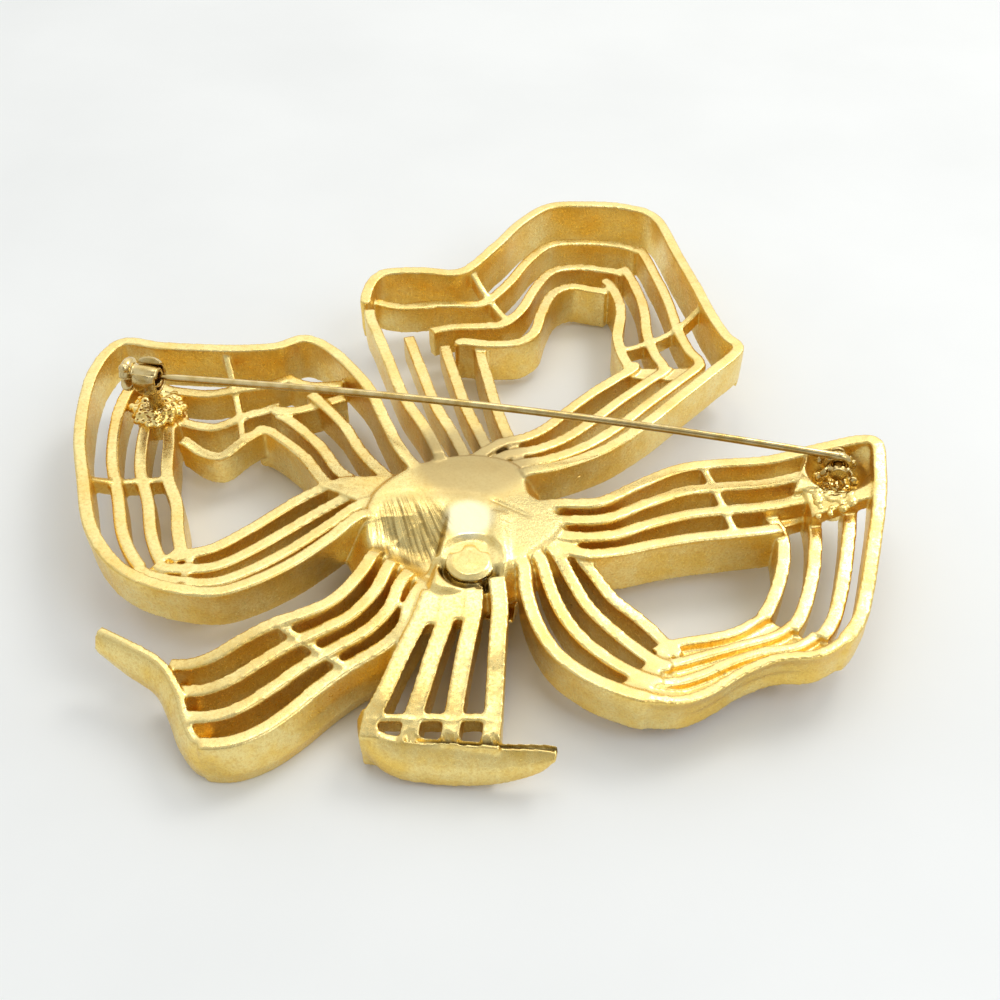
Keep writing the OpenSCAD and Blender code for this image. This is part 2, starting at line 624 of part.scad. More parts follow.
module catch_rotor() {
    half = collar_w / 2;
    flange_to = -half - side_gap;
    color(finding) translate([catch_x, pin_y, catch_z]) difference() {
        union() {
            along_pin(sleeve_r, flange_to - flange_t / 2, half - side_gap);
            along_pin(flange_r, flange_to - flange_t, flange_to);
            rotate([180 - tab_deg, 0, 0]) translate([0, flange_r, 0])
                along_pin(tab_r, flange_to - 0.8 * flange_t, flange_to - 0.2 * flange_t);
        }
        along_pin(sleeve_r - sleeve_t, -3 * collar_w, collar_w);
        rotate([shut_turn, 0, 0]) slot(6 * collar_w);
    }
}

module put() {
    translate([0, mid_y, 0]) children();
}

put() bow();
put() knot();
put() hinge_rivet();
put() pin_stem();
put() catch_rotor();
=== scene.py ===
# %% [markdown]
# # A cast bow brooch, lying face down
#
# This brooch is a bow of openwork ribbon, cast in one piece and plated in gold. It lies on its face, so
# we look at its back: the slats of each ribbon, the riveted end of the post that holds the knot, and the
# long pin with its hinge and its turning catch. The solid model gives every place and size. This script
# gives the piece its looks, one step at a time.

# %% Load the solid model
import math

import bpy
import numpy as np
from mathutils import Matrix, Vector


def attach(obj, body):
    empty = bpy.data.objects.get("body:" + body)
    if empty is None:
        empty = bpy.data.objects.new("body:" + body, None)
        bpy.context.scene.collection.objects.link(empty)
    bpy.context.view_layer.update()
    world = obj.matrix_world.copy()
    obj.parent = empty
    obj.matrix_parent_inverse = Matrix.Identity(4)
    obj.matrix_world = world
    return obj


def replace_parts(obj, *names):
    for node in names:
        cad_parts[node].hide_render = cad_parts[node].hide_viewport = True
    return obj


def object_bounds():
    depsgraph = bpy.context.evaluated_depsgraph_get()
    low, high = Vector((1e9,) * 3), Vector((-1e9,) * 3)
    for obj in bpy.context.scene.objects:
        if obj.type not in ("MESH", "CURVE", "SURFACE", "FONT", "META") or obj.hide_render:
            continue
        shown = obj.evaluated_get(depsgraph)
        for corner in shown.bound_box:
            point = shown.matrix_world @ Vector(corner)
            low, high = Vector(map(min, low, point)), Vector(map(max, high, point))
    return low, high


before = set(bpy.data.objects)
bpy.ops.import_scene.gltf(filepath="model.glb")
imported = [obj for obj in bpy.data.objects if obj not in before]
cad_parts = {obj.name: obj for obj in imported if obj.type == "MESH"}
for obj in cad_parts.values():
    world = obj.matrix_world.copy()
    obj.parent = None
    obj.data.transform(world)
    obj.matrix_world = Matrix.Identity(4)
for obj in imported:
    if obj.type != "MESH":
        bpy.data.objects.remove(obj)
solid_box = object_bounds()
MM = 0.001

# %% [markdown]
# ## Ribbons as pairs of edges
#
# A jeweller carves such a bow in wax as strips of ribbon. Each strip here is a short table with a row for
# every bend: where the rim is, and where the other edge is. A smooth curve through the rows gives the
# strip, and its slats lie at fixed shares of the way across. Tables keep the shape easy to change, and the
# curve can be cut as finely as the picture needs. The lengths are shares of the bow's reach, 42 mm, and of
# its 10 mm rise, as in the solid model.

# %% The ribbons' edges: rim x, y, z, then edge x, y, z
REACH, RISE, MIDDLE_Y = 42.0, 10.0, 1.26
EDGES = {
    "a_left": [
        (.01, -.275, .79, .155, -.18, .76),
        (-.03, -.215, .85, .125, -.105, .70),
        (-.10, -.10, .85, .08, -.005, .65),
        (-.18, .01, .85, .04, .095, .60),
        (-.25, .14, .87, .00, .205, .56),
        (-.305, .245, .87, -.03, .285, .55),
        (-.355, .35, .87, -.05, .36, .54),
    ],
    "a_top": [
        (-.375, .385, .88, -.10, .33, .60),
        (-.36, .50, .93, -.03, .335, .60),
        (-.25, .53, .95, .045, .35, .60),
        (-.135, .545, .95, .075, .365, .62),
        (-.06, .67, 1.00, .10, .40, .65),
        (-.005, .81, 1.00, .105, .48, .66),
        (.065, .91, 1.00, .12, .59, .62),
        (.17, .94, 1.00, .165, .65, .58),
        (.29, .965, .95, .225, .655, .55),
        (.385, .93, .92, .275, .65, .55),
    ],
    "a_right": [
        (.385, .93, .92, .265, .70, .56),
        (.46, .76, .90, .31, .61, .58),
        (.52, .615, .90, .325, .525, .60),
        (.57, .485, .90, .325, .435, .60),
        (.615, .39, .90, .345, .355, .60),
        (.65, .335, .90, .37, .29, .60),
    ],
    "a_low": [
        (.65, .335, .90, .385, .31, .60),
        (.585, .225, .90, .34, .245, .60),
        (.51, .11, .90, .285, .175, .60),
        (.435, -.005, .90, .235, .10, .60),
        (.345, -.10, .85, .19, .01, .65),
        (.245, -.175, .85, .145, -.05, .70),
        (.155, -.215, .83, .085, -.095, .74),
        (.10, -.27, .78, .03, -.17, .76),
    ],
    "b_top": [
        (-.96, .07, .95, -.715, -.18, .60),
        (-.85, .075, .95, -.655, -.205, .55),
        (-.745, .085, .95, -.60, -.21, .55),
        (-.64, .10, .95, -.56, -.16, .60),
        (-.55, .125, .95, -.53, -.12, .60),
        (-.485, .17, .95, -.515, -.11, .60),
    ],
    "b_right": [
        (-.485, .17, .95, -.53, -.11, .60),
        (-.40, .14, .92, -.49, -.12, .60),
        (-.28, .025, .90, -.39, -.19, .60),
        (-.21, -.08, .85, -.31, -.28, .65),
        (-.14, -.185, .83, -.235, -.32, .72),
        (-.05, -.27, .78, -.145, -.37, .76),
    ],
    "b_left": [
        (-.96, .07, .95, -.755, -.135, .60),
        (-.985, -.06, .92, -.735, -.215, .60),
        (-.93, -.265, .90, -.70, -.315, .60),
        (-.85, -.43, .90, -.645, -.40, .60),
        (-.775, -.565, .90, -.61, -.485, .60),
        (-.68, -.66, .90, -.575, -.55, .60),
    ],
    "b_low": [
        (-.68, -.66, .90, -.59, -.56, .60),
        (-.58, -.70, .88, -.56, -.55, .60),
        (-.455, -.70, .85, -.505, -.52, .60),
        (-.38, -.665, .85, -.445, -.45, .60),
        (-.30, -.59, .85, -.375, -.355, .60),
        (-.235, -.50, .85, -.305, -.295, .65),
        (-.175, -.40, .82, -.235, -.28, .72),
        (-.075, -.37, .77, -.13, -.275, .77),
    ],
    "c_top": [
        (.18, -.31, .78, .24, -.41, .76),
        (.26, -.295, .82, .335, -.425, .74),
        (.355, -.28, .85, .415, -.395, .70),
        (.44, -.195, .80, .49, -.36, .70),
        (.53, -.125, .80, .575, -.325, .70),
        (.625, -.09, .80, .655, -.30, .70),
        (.74, -.07, .85, .73, -.275, .70),
        (.865, -.03, .96, .785, -.25, .68),
        (.975, -.01, 1.05, .80, -.24, .66),
    ],
    "c_right": [
        (.975, -.01, 1.05, .74, -.20, .66),
        (.99, -.10, 1.02, .765, -.23, .63),
        (.985, -.21, .98, .78, -.26, .61),
        (.975, -.30, .92, .785, -.30, .60),
        (.965, -.38, .87, .785, -.345, .60),
        (.955, -.45, .82, .775, -.41, .57),
        (.94, -.52, .79, .76, -.465, .55),
        (.91, -.575, .76, .745, -.50, .54),
    ],
    "c_low": [
        (.91, -.575, .76, .755, -.485, .54),
        (.855, -.625, .75, .73, -.515, .54),
        (.775, -.64, .70, .685, -.555, .54),
        (.705, -.68, .66, .635, -.58, .54),
        (.64, -.735, .62, .58, -.60, .54),
        (.58, -.77, .62, .54, -.62, .54),
        (.505, -.78, .65, .52, -.64, .54),
    ],
    "c_left": [
        (.155, -.43, .78, .24, -.36, .77),
        (.205, -.485, .79, .305, -.41, .74),
        (.225, -.56, .75, .36, -.46, .65),
        (.26, -.635, .70, .41, -.515, .60),
        (.31, -.70, .67, .465, -.55, .56),
        (.38, -.745, .65, .51, -.585, .54),
        (.45, -.77, .65, .545, -.62, .54),
        (.505, -.78, .65, .56, -.63, .54),
    ],
    "tail_d": [
        (-.05, -.38, .78, .02, -.50, .76),
        (-.115, -.46, .80, -.02, -.62, .70),
        (-.14, -.57, .80, -.025, -.685, .65),
        (-.175, -.655, .80, -.06, -.735, .60),
        (-.225, -.705, .80, -.12, -.79, .56),
        (-.29, -.745, .78, -.17, -.85, .53),
        (-.345, -.79, .74, -.215, -.92, .52),
        (-.395, -.835, .69, -.26, -.975, .52),
        (-.44, -.855, .64, -.31, -1.01, .52),
        (-.49, -.86, .60, -.37, -1.025, .52),
    ],
    "tail_e": [
        (.02, -.595, .75, .155, -.54, .80),
        (.01, -.67, .70, .175, -.61, .75),
        (-.01, -.76, .65, .185, -.70, .70),
        (-.025, -.85, .60, .195, -.78, .62),
        (-.04, -.905, .54, .205, -.865, .55),
        (-.04, -.95, .49, .21, -.935, .50),
    ],
}

# %% [markdown]
# ## Slats, bars and sheets
#
# A ribbon is four slats that stand on edge, like fins, at 0, .34, .67 and 1 of its width. Where a ribbon
# differs, its row in SLATS gives each slat's place across, its start and its end. Thin bars tie the slats:
# a row gives a bar's two ends along the ribbon and its two ends across it. Some folds are solid sheet: a
# row gives the sheet's start and end along the ribbon, its two sides, how deep it lies below the back as a
# share of its thickness, and the curl where that isn't the ribbon's own.

# %% What each ribbon is made of
ALL_THE_WAY = [(0, 0, 1), (.34, 0, 1), (.67, 0, 1), (1, 0, 1)]
SLATS = {
    "a_top": [(0, 0, 1), (.34, .10, 1), (.67, .03, 1), (1, 0, 1)],
    "a_left": [(0, 0, 1), (.34, 0, .94), (.67, 0, .93), (1, 0, .93)],
    "b_right": [(0, 0, 1), (.42, .20, 1), (.78, .08, 1), (1, 0, 1)],
    "c_top": [(0, 0, 1), (.34, 0, .88), (.67, 0, .93), (1, 0, .85)],
    "c_right": [(0, 0, 1), (.27, .18, 1), (.63, .10, 1), (1, .02, 1)],
}
BARS = {
    "a_top": [(.36, .36, 0, .67)], "a_right": [(.52, .76, 0, 1)], "b_top": [(.52, .60, 0, 1)],
    "b_left": [(.58, .42, 0, 1)], "b_low": [(.21, .17, 0, 1)], "c_top": [(.57, .65, 0, 1)],
    "tail_d": [(.55, .45, 0, 1)], "tail_e": [(.80, .80, 0, 1)],
}
SHEETS = {
    "a_low": [(0, .10, .33, 1, .25)],
    "b_top": [(0, .22, .3, .7, .4)],
    "b_low": [(0, .10, 0, 1, .3)],
    "c_top": [(.84, 1, 0, .6, .04, .6)],
    "c_right": [(0, .25, 0, .7, .04, .7), (0, .16, .6, 1, .5)],
    "c_low": [(.02, 1, 0, 1, .5)],
    "c_left": [(.84, 1, 0, 1, .1)],
    "tail_d": [(.94, 1, 0, 1, 1.4)],
    "tail_e": [(0, .24, 0, .68, .02), (.93, 1, 0, 1, .1)],
}
# short walls that tie the ends of cut slats, each with three points in shares of the reach and the rise
TIES = [
    [(-.36, .43, .74), (-.29, .425, .72), (-.20, .455, .70)],
    [(-.515, .075, .70), (-.45, .055, .69), (-.36, .075, .69)],
    [(-.52, -.04, .62), (-.45, -.025, .62), (-.345, .04, .64)],
]
print(len(EDGES), "ribbons,", sum(len(rows) for rows in SHEETS.values()), "sheets")

# %% [markdown]
# ## From a table to a smooth curve
#
# The curve passes through every row and bends evenly between them (a Catmull-Rom spline). It needs a row
# before and a row after each stretch. Where two ribbons share a corner of a loop, each borrows the other's
# next row, so that the corner comes out round.


# %% A smooth curve through rows
def between(a, b, c, d, t):
    # the stretch from b to c, where a comes before it and d after it
    square, cube = 2 * a - 5 * b + 4 * c - d, 3 * b - a - 3 * c + d
    return 0.5 * (2 * b + (c - a) * t + square * t * t + cube * t ** 3)


def bend(rows, share, before=None, after=None):
    rows = np.asarray(rows, float)
    last = len(rows) - 1
    spot = min(max(share, 0.0), 1.0) * last
    i = min(int(spot), last - 1)
    a = rows[i - 1] if i > 0 else np.asarray(before or rows[0], float)
    d = rows[i + 2] if i < last - 1 else np.asarray(after or rows[last], float)
    return between(a, rows[i], rows[i + 1], d, spot - i)


# ribbons that follow each other round a loop
RUNS = [
    ["a_left", "a_top", "a_right", "a_low"], ["b_top", "b_right"], ["b_left", "b_low"],
    ["c_top", "c_right", "c_low"],
]
BEFORE = {b: EDGES[a][-2] for run in RUNS for a, b in zip(run, run[1:])}
AFTER = {a: EDGES[b][1] for run in RUNS for a, b in zip(run, run[1:])}
# at one corner of the left loop both ribbons start, and at one of the right loop both end
BEFORE.update({"b_top": EDGES["b_left"][1], "b_left": EDGES["b_top"][1]})
AFTER.update({"c_low": EDGES["c_left"][-2], "c_left": EDGES["c_low"][-2]})
print(len(BEFORE) + len(AFTER), "ribbon ends have a neighbour")

# %% [markdown]
# Across the ribbon the back is not flat: on most ribbons the rim stands up like a curled edge, so the
# height falls quickly from the rim and then runs level. That fall is a power. With 1 it is a straight slope,
# and with 3 a curled lip.


# %% Points on a ribbon
NO_CURL = {"c_top", "c_left", "tail_d", "tail_e"}


def to_mm(p):
    return np.array([p[0] * REACH, p[1] * REACH + MIDDLE_Y, p[2] * RISE])


def on_ribbon(name, along, across, curl=0):
    row = bend(EDGES[name], along, BEFORE.get(name), AFTER.get(name))
    rim, edge = to_mm(row[:3]), to_mm(row[3:6])
    # the right loop's lower ribbon loses its curl on the way to the last ribbon, which has none
    curl = curl or (1 if name in NO_CURL else 3 - 2 * along if name == "c_low" else 3)
    flat = rim + (edge - rim) * across
    return np.array([flat[0], flat[1], edge[2] + (rim[2] - edge[2]) * (1 - across) ** curl])


def slat_line(name, across, start, end, step=0.6):
    # a row of points about 0.6 mm apart
    rough = np.array([on_ribbon(name, start + (end - start) * k / 20, across) for k in range(21)])
    length = np.linalg.norm(np.diff(rough, axis=0), axis=1).sum()
    n = max(4, int(length / step))
    return np.array([on_ribbon(name, start + (end - start) * k / n, across) for k in range(n + 1)])


line = slat_line("b_low", 0, 0, 1)
print("the left loop's lower rim is cut into", len(line) - 1, "pieces")

# %% [markdown]
# ## Closed skins
#
# A wall, a bar or a sheet is a row of cross-sections with a skin round them. The pieces may overlap as
# they like: later one remesh melts them into a single skin, as the metal ran together in the mould. All
# pieces that will melt together are gathered in one form, a plain list of points and faces.


# %% Forms and skins
forms = []


def new_form():
    # whatever is built next goes into this form
    forms.append({"points": [], "faces": []})
    return forms[-1]


def skin(rings):
    points, faces = forms[-1]["points"], forms[-1]["faces"]
    first, n, m = len(points), len(rings), len(rings[0])
    for ring in rings:
        points.extend(tuple(float(v) for v in p) for p in ring)
    at = lambda i, j: first + i * m + j % m
    for i in range(n - 1):
        for j in range(m):
            faces.append((at(i, j), at(i, j + 1), at(i + 1, j + 1), at(i + 1, j)))
    # each end is closed by strips from one side of the ring to the other
    for j in range(m // 2 - 1):
        faces.append((at(0, m - 1 - j), at(0, m - 2 - j), at(0, j + 1), at(0, j)))
        faces.append((at(n - 1, j), at(n - 1, j + 1), at(n - 1, m - 2 - j), at(n - 1, m - 1 - j)))


# %% Walls and posts
def sideways(line):
    # at each point, the level direction to the line's left
    way = np.gradient(line[:, :2], axis=0)
    way /= np.linalg.norm(way, axis=1)[:, None] + 1e-9
    return np.stack([-way[:, 1], way[:, 0], 0 * way[:, 0]], axis=1)


def wall(line, deep, thick, belly=0.0, foot=0.85):
    # The foot is a little thinner than the top, the draft that lets a casting leave its mould. A belly
    # pushes the wall's left side out at half height, and fades towards both ends.
    line = np.asarray(line, float)
    rings = []
    for k, (p, s) in enumerate(zip(line, sideways(line))):
        down = np.array([0, 0, -min(deep, p[2] - 0.02)])
        top, low = s * thick / 2, s * thick * foot / 2
        out = s * belly * math.sin(math.pi * (k / (len(line) - 1))) ** 0.5
        rings.append([
            p - low + down, p - low + down * .65, p - top + down * .3, p - top,
            p + top, p + top + down * .3 + out * .75, p + top + down * .65 + out, p + low + down + out * .55])
    skin(rings)


def post(x, y, z, radius, tall, sides=12):
    turns = [2 * math.pi * k / sides for k in reversed(range(sides))]
    ring = [(x + radius * math.cos(a), y + radius * math.sin(a)) for a in turns]
    skin([[(px, py, z) for px, py in ring], [(px, py, z - tall) for px, py in ring]])


casting_form = new_form()
print("an empty form for the casting, with", len(casting_form["faces"]), "faces")

# %% [markdown]
# ## The hub
#
# All the ribbons run together in the middle, where the casting is a shallow dome. North of a crease it is
# one dull, level plane. South of it the maker's brush has cut a hollow round the rivet. The dome is a grid
# of rings, whose height comes from one function, and the same function sinks the slats into the dome.

# %% Where the hub, the rivet and the findings stand
HUB_X, HUB_Y, HUB_R = 2.1, -14.7 + MIDDLE_Y, 10.0
RIVET_X, RIVET_Y = .09 * REACH, -.505 * REACH + MIDDLE_Y
# the pin's line, the height of its two seats, and the places of its catch and its hinge
PIN_Y, SEAT_Z, CATCH_X, JOINT_X = -3.78 + MIDDLE_Y, 6.4, -34.02, 37.59
print("the pin spans", round(JOINT_X - CATCH_X, 1), "mm")

# %% The hub's outline
# its radius at every 30 degrees, as shares of HUB_R
OUTLINE = [1.04, .74, .90, .88, .88, .95, 1.06, 1.10, 1.00, 1.14, .94, .94]


def hub_edge(angle):
    spot = (angle % (2 * math.pi)) / (math.pi / 6)
    i = int(spot)
    a, b, c, d = (OUTLINE[(i + k) % len(OUTLINE)] for k in (-1, 0, 1, 2))
    return HUB_R * between(a, b, c, d, spot - i)


print("hub", round(hub_edge(0) + hub_edge(math.pi), 1), "mm across")


# %% The hub's height
def smooth(value, start, end):
    # goes gently from 0 at start to 1 at end
    t = min(max((value - start) / (end - start), 0.0), 1.0)
    return t * t * (3 - 2 * t)


def hub_top(x, y, share):
    # share is 0 at the hub's middle and 1 at its outline
    crease = -10.8 - 0.022 * (x - 1) ** 2
    z = 8.3 - 0.35 * share * share
    # south of the crease the surface steps down a little, on the left and up to the rivet's far side
    z -= 0.12 * smooth(crease - y, 0, 1.0) * smooth(4.6 - x, 0, 1.6)
    # the brushed hollow falls away towards the first tail, and levels out again where the slats start
    fall = 2.1 * smooth(crease - 1.3 - y, 0, 7.5) * smooth(0.9 - x, 0, 0.9)
    z -= fall * (1 - 0.65 * smooth(share, 0.66, 0.95))
    # the ground round the rivet, with a groove on its near side
    away = math.hypot(x - RIVET_X, y - RIVET_Y)
    z -= 0.35 * smooth(3.5 - away, 0, 0.9)
    z -= 1.3 * math.exp(-(((away - 2.65) / 0.34) ** 2)) * smooth(RIVET_Y - y, -0.2, 1.4)
    # a flat strip runs past the rivet into the last slat of the second tail
    strip = (x - 5.5 + 0.173 * (y + 13.8)) / 0.85
    z += 0.3 * math.exp(-strip ** 4) * smooth(-13.0 - y, 0, 1.0)
    # a short cut beside it, left by the knife in the wax
    cut = (y + 11.9 + 0.378 * (x - 4.5)) / 0.2
    z -= 0.3 * math.exp(-cut * cut) * smooth(x, 4.0, 5.0) * smooth(8.8 - x, 0, 1)
    # the outline drops away, so that the dome sinks between the slats
    return z - 2.6 * smooth(share, 0.86, 1.12)


print("the hub's top is", round(hub_top(HUB_X, -8.0, 0.5), 2), "mm above the table")

# %% The dome
UNDERSIDE = 5.7
rings = []
for share in np.linspace(0.02, 1.1, 48):
    ring = []
    for angle in np.linspace(0, 2 * math.pi, 144, endpoint=False):
        x = HUB_X + share * hub_edge(angle) * math.cos(angle)
        y = HUB_Y + share * hub_edge(angle) * math.sin(angle)
        ring.append((x, y, hub_top(x, y, share)))
    rings.append(ring)
under = [[(x, y, min(z - 0.8, UNDERSIDE)) for x, y, z in ring] for ring in rings]
skin(rings + under[::-1])
print("the dome has", len(casting_form["faces"]), "faces")

# %% [markdown]
# ## Where slats give way
#
# Two places are kept free. Inside the hub a slat's top lies just under the dome, so the slat fades into it.
# And the slats and sheets dip round the two pads that the hinge and the catch stand on, as they do where
# the maker pressed a seat into the wax. The dip is steep round the catch and gentle round the hinge.


# %% Sink under the hub, dip round the pads
def sink(points):
    for p in points:
        away = math.hypot(p[0] - HUB_X, p[1] - HUB_Y)
        share = away / hub_edge(math.atan2(p[1] - HUB_Y, p[0] - HUB_X))
        if share < 1:
            top = hub_top(p[0], p[1], min(share, 0.9))
            p[2] = min(p[2], top - 0.12 + 1.2 * smooth(share, 0.8, 1.0))
    return points


def clear(points):
    # the dip starts at the pad's edge, 1.7 mm out, and ends after its slope with all heights allowed
    for p in points:
        for x, slope in ((CATCH_X, 2.2), (JOINT_X, 3.4)):
            t = min(max((math.hypot(p[0] - x, p[1] - PIN_Y) - 1.7) / slope, 0.0), 1.0)
            p[2] = min(p[2], SEAT_Z - 0.3 + 4.2 * (2 * t - t * t))
    return points


print("at the hinge the slats stop at", round(clear([np.array([JOINT_X, PIN_Y, 10.0])])[0][2], 1), "mm")

# %% [markdown]
# ## The casting's rough form
#
# Now the walls go up. The rims at the top of the bow are deeper, and the slats of the second tail are
# wider, as the hand-carved wax had them. Where a slat lies at a ribbon's very edge it is deeper too,
# because there it is the wall that we see from outside.

# %% Slats and bars of one ribbon
# thickness and depth of a plain slat, and the slats that are thinner or thicker, in mm
SLAT_T, SLAT_DEEP = 1.3, 3.6
WIDE = {"tail_e": 1.65, "c_low": 1.0, "c_right": 1.35}
HIGH_RIM = {"a_top", "a_right", "b_top", "b_right"}
# outer walls that bulge at half height: how far to their left, in mm
BELLIES = {
    ("b_low", 0): -0.5, ("c_low", 0): -0.7, ("c_left", 0): 0.5, ("tail_d", 1): 0.9, ("tail_e", 0): -0.7}


def raise_slats(name):
    for across, start, end in SLATS.get(name, ALL_THE_WAY):
        deep = SLAT_DEEP
        if across == 0:
            deep = 5.4 if name in HIGH_RIM else 4.4
        if across == 1 and name != "b_top":
            deep = 5.2
        line = sink(slat_line(name, across, start, end))
        if across > 0:
            line = clear(line)
        wall(line, deep, WIDE.get(name, SLAT_T), BELLIES.get((name, across), 0))
    for first, last, start, end in BARS.get(name, []):
        line = [
            on_ribbon(name, first + (last - first) * t, start + (end - start) * t)
            for t in np.linspace(0, 1, 12)]
        wall(np.array(line) - [0, 0, 0.03], 2.0, 0.8)


print("a plain slat is", SLAT_T, "mm thick and", SLAT_DEEP, "mm deep")

# %% Sheets of one ribbon
SHEET_T = 1.6


def lay_sheets(name):
    # the sides are swapped where the rim is on the left, so that every skin faces outwards
    ahead = on_ribbon(name, .51, 0) - on_ribbon(name, .49, 0)
    aside = on_ribbon(name, .5, 1) - on_ribbon(name, .5, 0)
    rim_on_right = np.cross(ahead, aside)[2] > 0
    for start, end, a, b, drop, *curl in SHEETS.get(name, []):
        if not rim_on_right:
            a, b = b, a
        rings = []
        for along in np.linspace(start, end, 24):
            # the lower right sheet rises to the slats' height where it meets the last ribbon
            deep = SHEET_T * drop * (1 - 0.85 * smooth(along, 0.75, 1.0) if name == "c_low" else 1)
            top = [on_ribbon(name, along, x, *curl) - [0, 0, deep] for x in np.linspace(a, b, 24)]
            top = clear(sink(top))
            rings.append(top[::-1] + [p - [0, 0, SHEET_T] for p in top])
        skin(rings)


for name in EDGES:
    raise_slats(name)
    lay_sheets(name)
print(len(casting_form["points"]), "points with slats, bars and sheets")

# %% [markdown]
# Three short ties join slats that end in a fold. A thin round post closes each corner where two ribbons
# meet, and one stands at each slat where the right loop's last ribbon meets the lower one.

# %% Ties and corner posts
for tie in TIES:
    points = [to_mm(p) for p in tie]
    wall(np.array([bend(points, t) for t in np.linspace(0, 1, 14)]), SLAT_DEEP, SLAT_T)
CORNERS = ["a_top", "a_right", "a_low", "b_right", "b_left", "b_low", "c_right", "c_low"]
for name in CORNERS:
    rim, edge = on_ribbon(name, 0, 0), on_ribbon(name, 0, 1)
    post(*rim, 0.64, min(4.2, rim[2] - 0.02))
    post(*edge, 0.62, min(5.0, edge[2] - 0.02))
for across in (0, .34, .67, 1):
    post(*on_ribbon("c_left", 1, across), 0.64, 4.2)
print(2 * len(CORNERS) + 4, "posts")

# %% [markdown]
# ## Cut ends of the tails
#
# Each tail ends in a wall across the slats, like the cut end of a ribbon. It leans outwards at its foot
# and swells in the middle, so it catches the light as one bright, bowed face. A row gives a point of its
# top in shares of the reach and the rise, then its height and its lean in shares of 5.2 mm.

# %% The two end walls
ENDS = {
    "d": [
        (-.33, -1.015, .51, .80, .02), (-.375, -1.015, .51, .92, .06), (-.412, -.975, .55, .90, .16),
        (-.445, -.92, .61, .78, .22), (-.502, -.866, .67, .76, .18), (-.592, -.832, .70, .72, .14),
        (-.66, -.81, .70, .50, .10)],
    "e": [
        (.345, -.905, .45, .16, .04), (.31, -.905, .455, .46, .14), (.22, -.918, .46, .70, .24),
        (.11, -.93, .47, .80, .26), (.02, -.94, .48, .74, .20), (-.035, -.925, .50, .62, .10),
        (-.055, -.885, .53, .62, .04)],
}
END_TALL = 5.2
for rows in ENDS.values():
    at = [bend(rows, t) for t in np.linspace(0, 1, 50)]
    line = np.array([to_mm(r) for r in at])
    rings = []
    for p, s, r in zip(line, sideways(line), at):
        tall, out = min(r[3] * END_TALL, p[2] - 0.02), r[4] * END_TALL
        face, back = [], []
        for t in np.arange(6) / 5:
            face.append(p + s * (0.45 + out * t + 0.45 * math.sin(math.pi * t)) - [0, 0, tall * t])
            back.append(face[-1] - s * (0.75 + 0.5 * math.sin(math.pi * t)))
        rings.append(back + face[::-1])
    skin(rings)
print("the casting's form has", len(casting_form["faces"]), "faces")

# %% [markdown]
# ## Seats and solder
#
# The hinge and the catch stand on small round pads, and a lump of solder has run round the foot of each.
# Solder freezes in uneven beads, so it is a spiral of small overlapping balls. A seeded generator draws
# their sizes, so that they come out the same on each run.


# %% A ball, and the two lumps of solder
solder_form = new_form()
rng = np.random.default_rng(7)


def ball(x, y, z, r, flat=1.0, sides=10):
    turns = np.linspace(0, 2 * math.pi, sides, endpoint=False)
    rings = []
    for k in range(7):
        a = math.pi * (0.02 + 0.96 * k / 6)
        wide, high = r * math.sin(a), r * flat * math.cos(a)
        rings.append([(x + wide * math.cos(t), y + wide * math.sin(t), z + high) for t in turns])
    skin(rings)


BEADS = 46
for x in (CATCH_X, JOINT_X):
    post(x, PIN_Y, SEAT_Z - 0.2, 2.4, 2.4, 32)
    for k in range(BEADS):
        angle = 2.4 * k
        r = 0.8 + 2.0 * math.sqrt((k + 0.5) / BEADS) + rng.uniform(-.1, .1)
        # the lump is higher round the hinge than round the catch
        z = SEAT_Z + (1.0 if x > 0 else 0.35) * smooth(2.6 - r, 0, 1.2) - 0.15
        ball(x + r * math.cos(angle), PIN_Y + r * math.sin(angle), z, rng.uniform(.35, .65), 0.9)
# a tongue of it ran from the hinge over the folded sheet, as far as the slats
for k in range(44):
    x, y, z = clear([on_ribbon("c_right", 0.05 + 0.005 * k, rng.uniform(.24, .66), .7)])[0]
    ball(x, y, z - 0.3, rng.uniform(.35, .65), 0.7)
print(2 * BEADS + 44, "beads of solder")

# %% [markdown]
# ## Melting the form into one casting
#
# A voxel remesh wraps all the overlapping pieces in one even skin, which is what the molten metal did. A
# few rounds of smoothing then take the sharpness off every edge, because a mould never fills to a knife
# edge and a plated casting is tumbled before it is plated. Small waves are pressed in last: the slats of
# the real bow were scraped clean by hand and are nowhere quite straight. Where the skin has more faces than
# it needs, the flat places are thinned out.


# %% Remesh, soften, thin out
def put(name, data):
    thing = bpy.data.objects.new(name, data)
    bpy.context.scene.collection.objects.link(thing)
    return thing


def apply_changes(piece):
    bpy.context.view_layer.update()
    shape = piece.evaluated_get(bpy.context.evaluated_depsgraph_get())
    made = bpy.data.meshes.new_from_object(shape)
    piece.modifiers.clear()
    piece.data = made
    return made


def spots_of(mesh):
    spots = np.zeros(len(mesh.vertices) * 3, np.float32)
    mesh.vertices.foreach_get("co", spots)
    return spots.reshape(-1, 3)


def keep_inside(mesh):
    # no point leaves the solid model's box
    spots = np.clip(spots_of(mesh), np.array(solid_box[0]), np.array(solid_box[1]))
    mesh.vertices.foreach_set("co", spots.astype(np.float32).ravel())
    mesh.update()


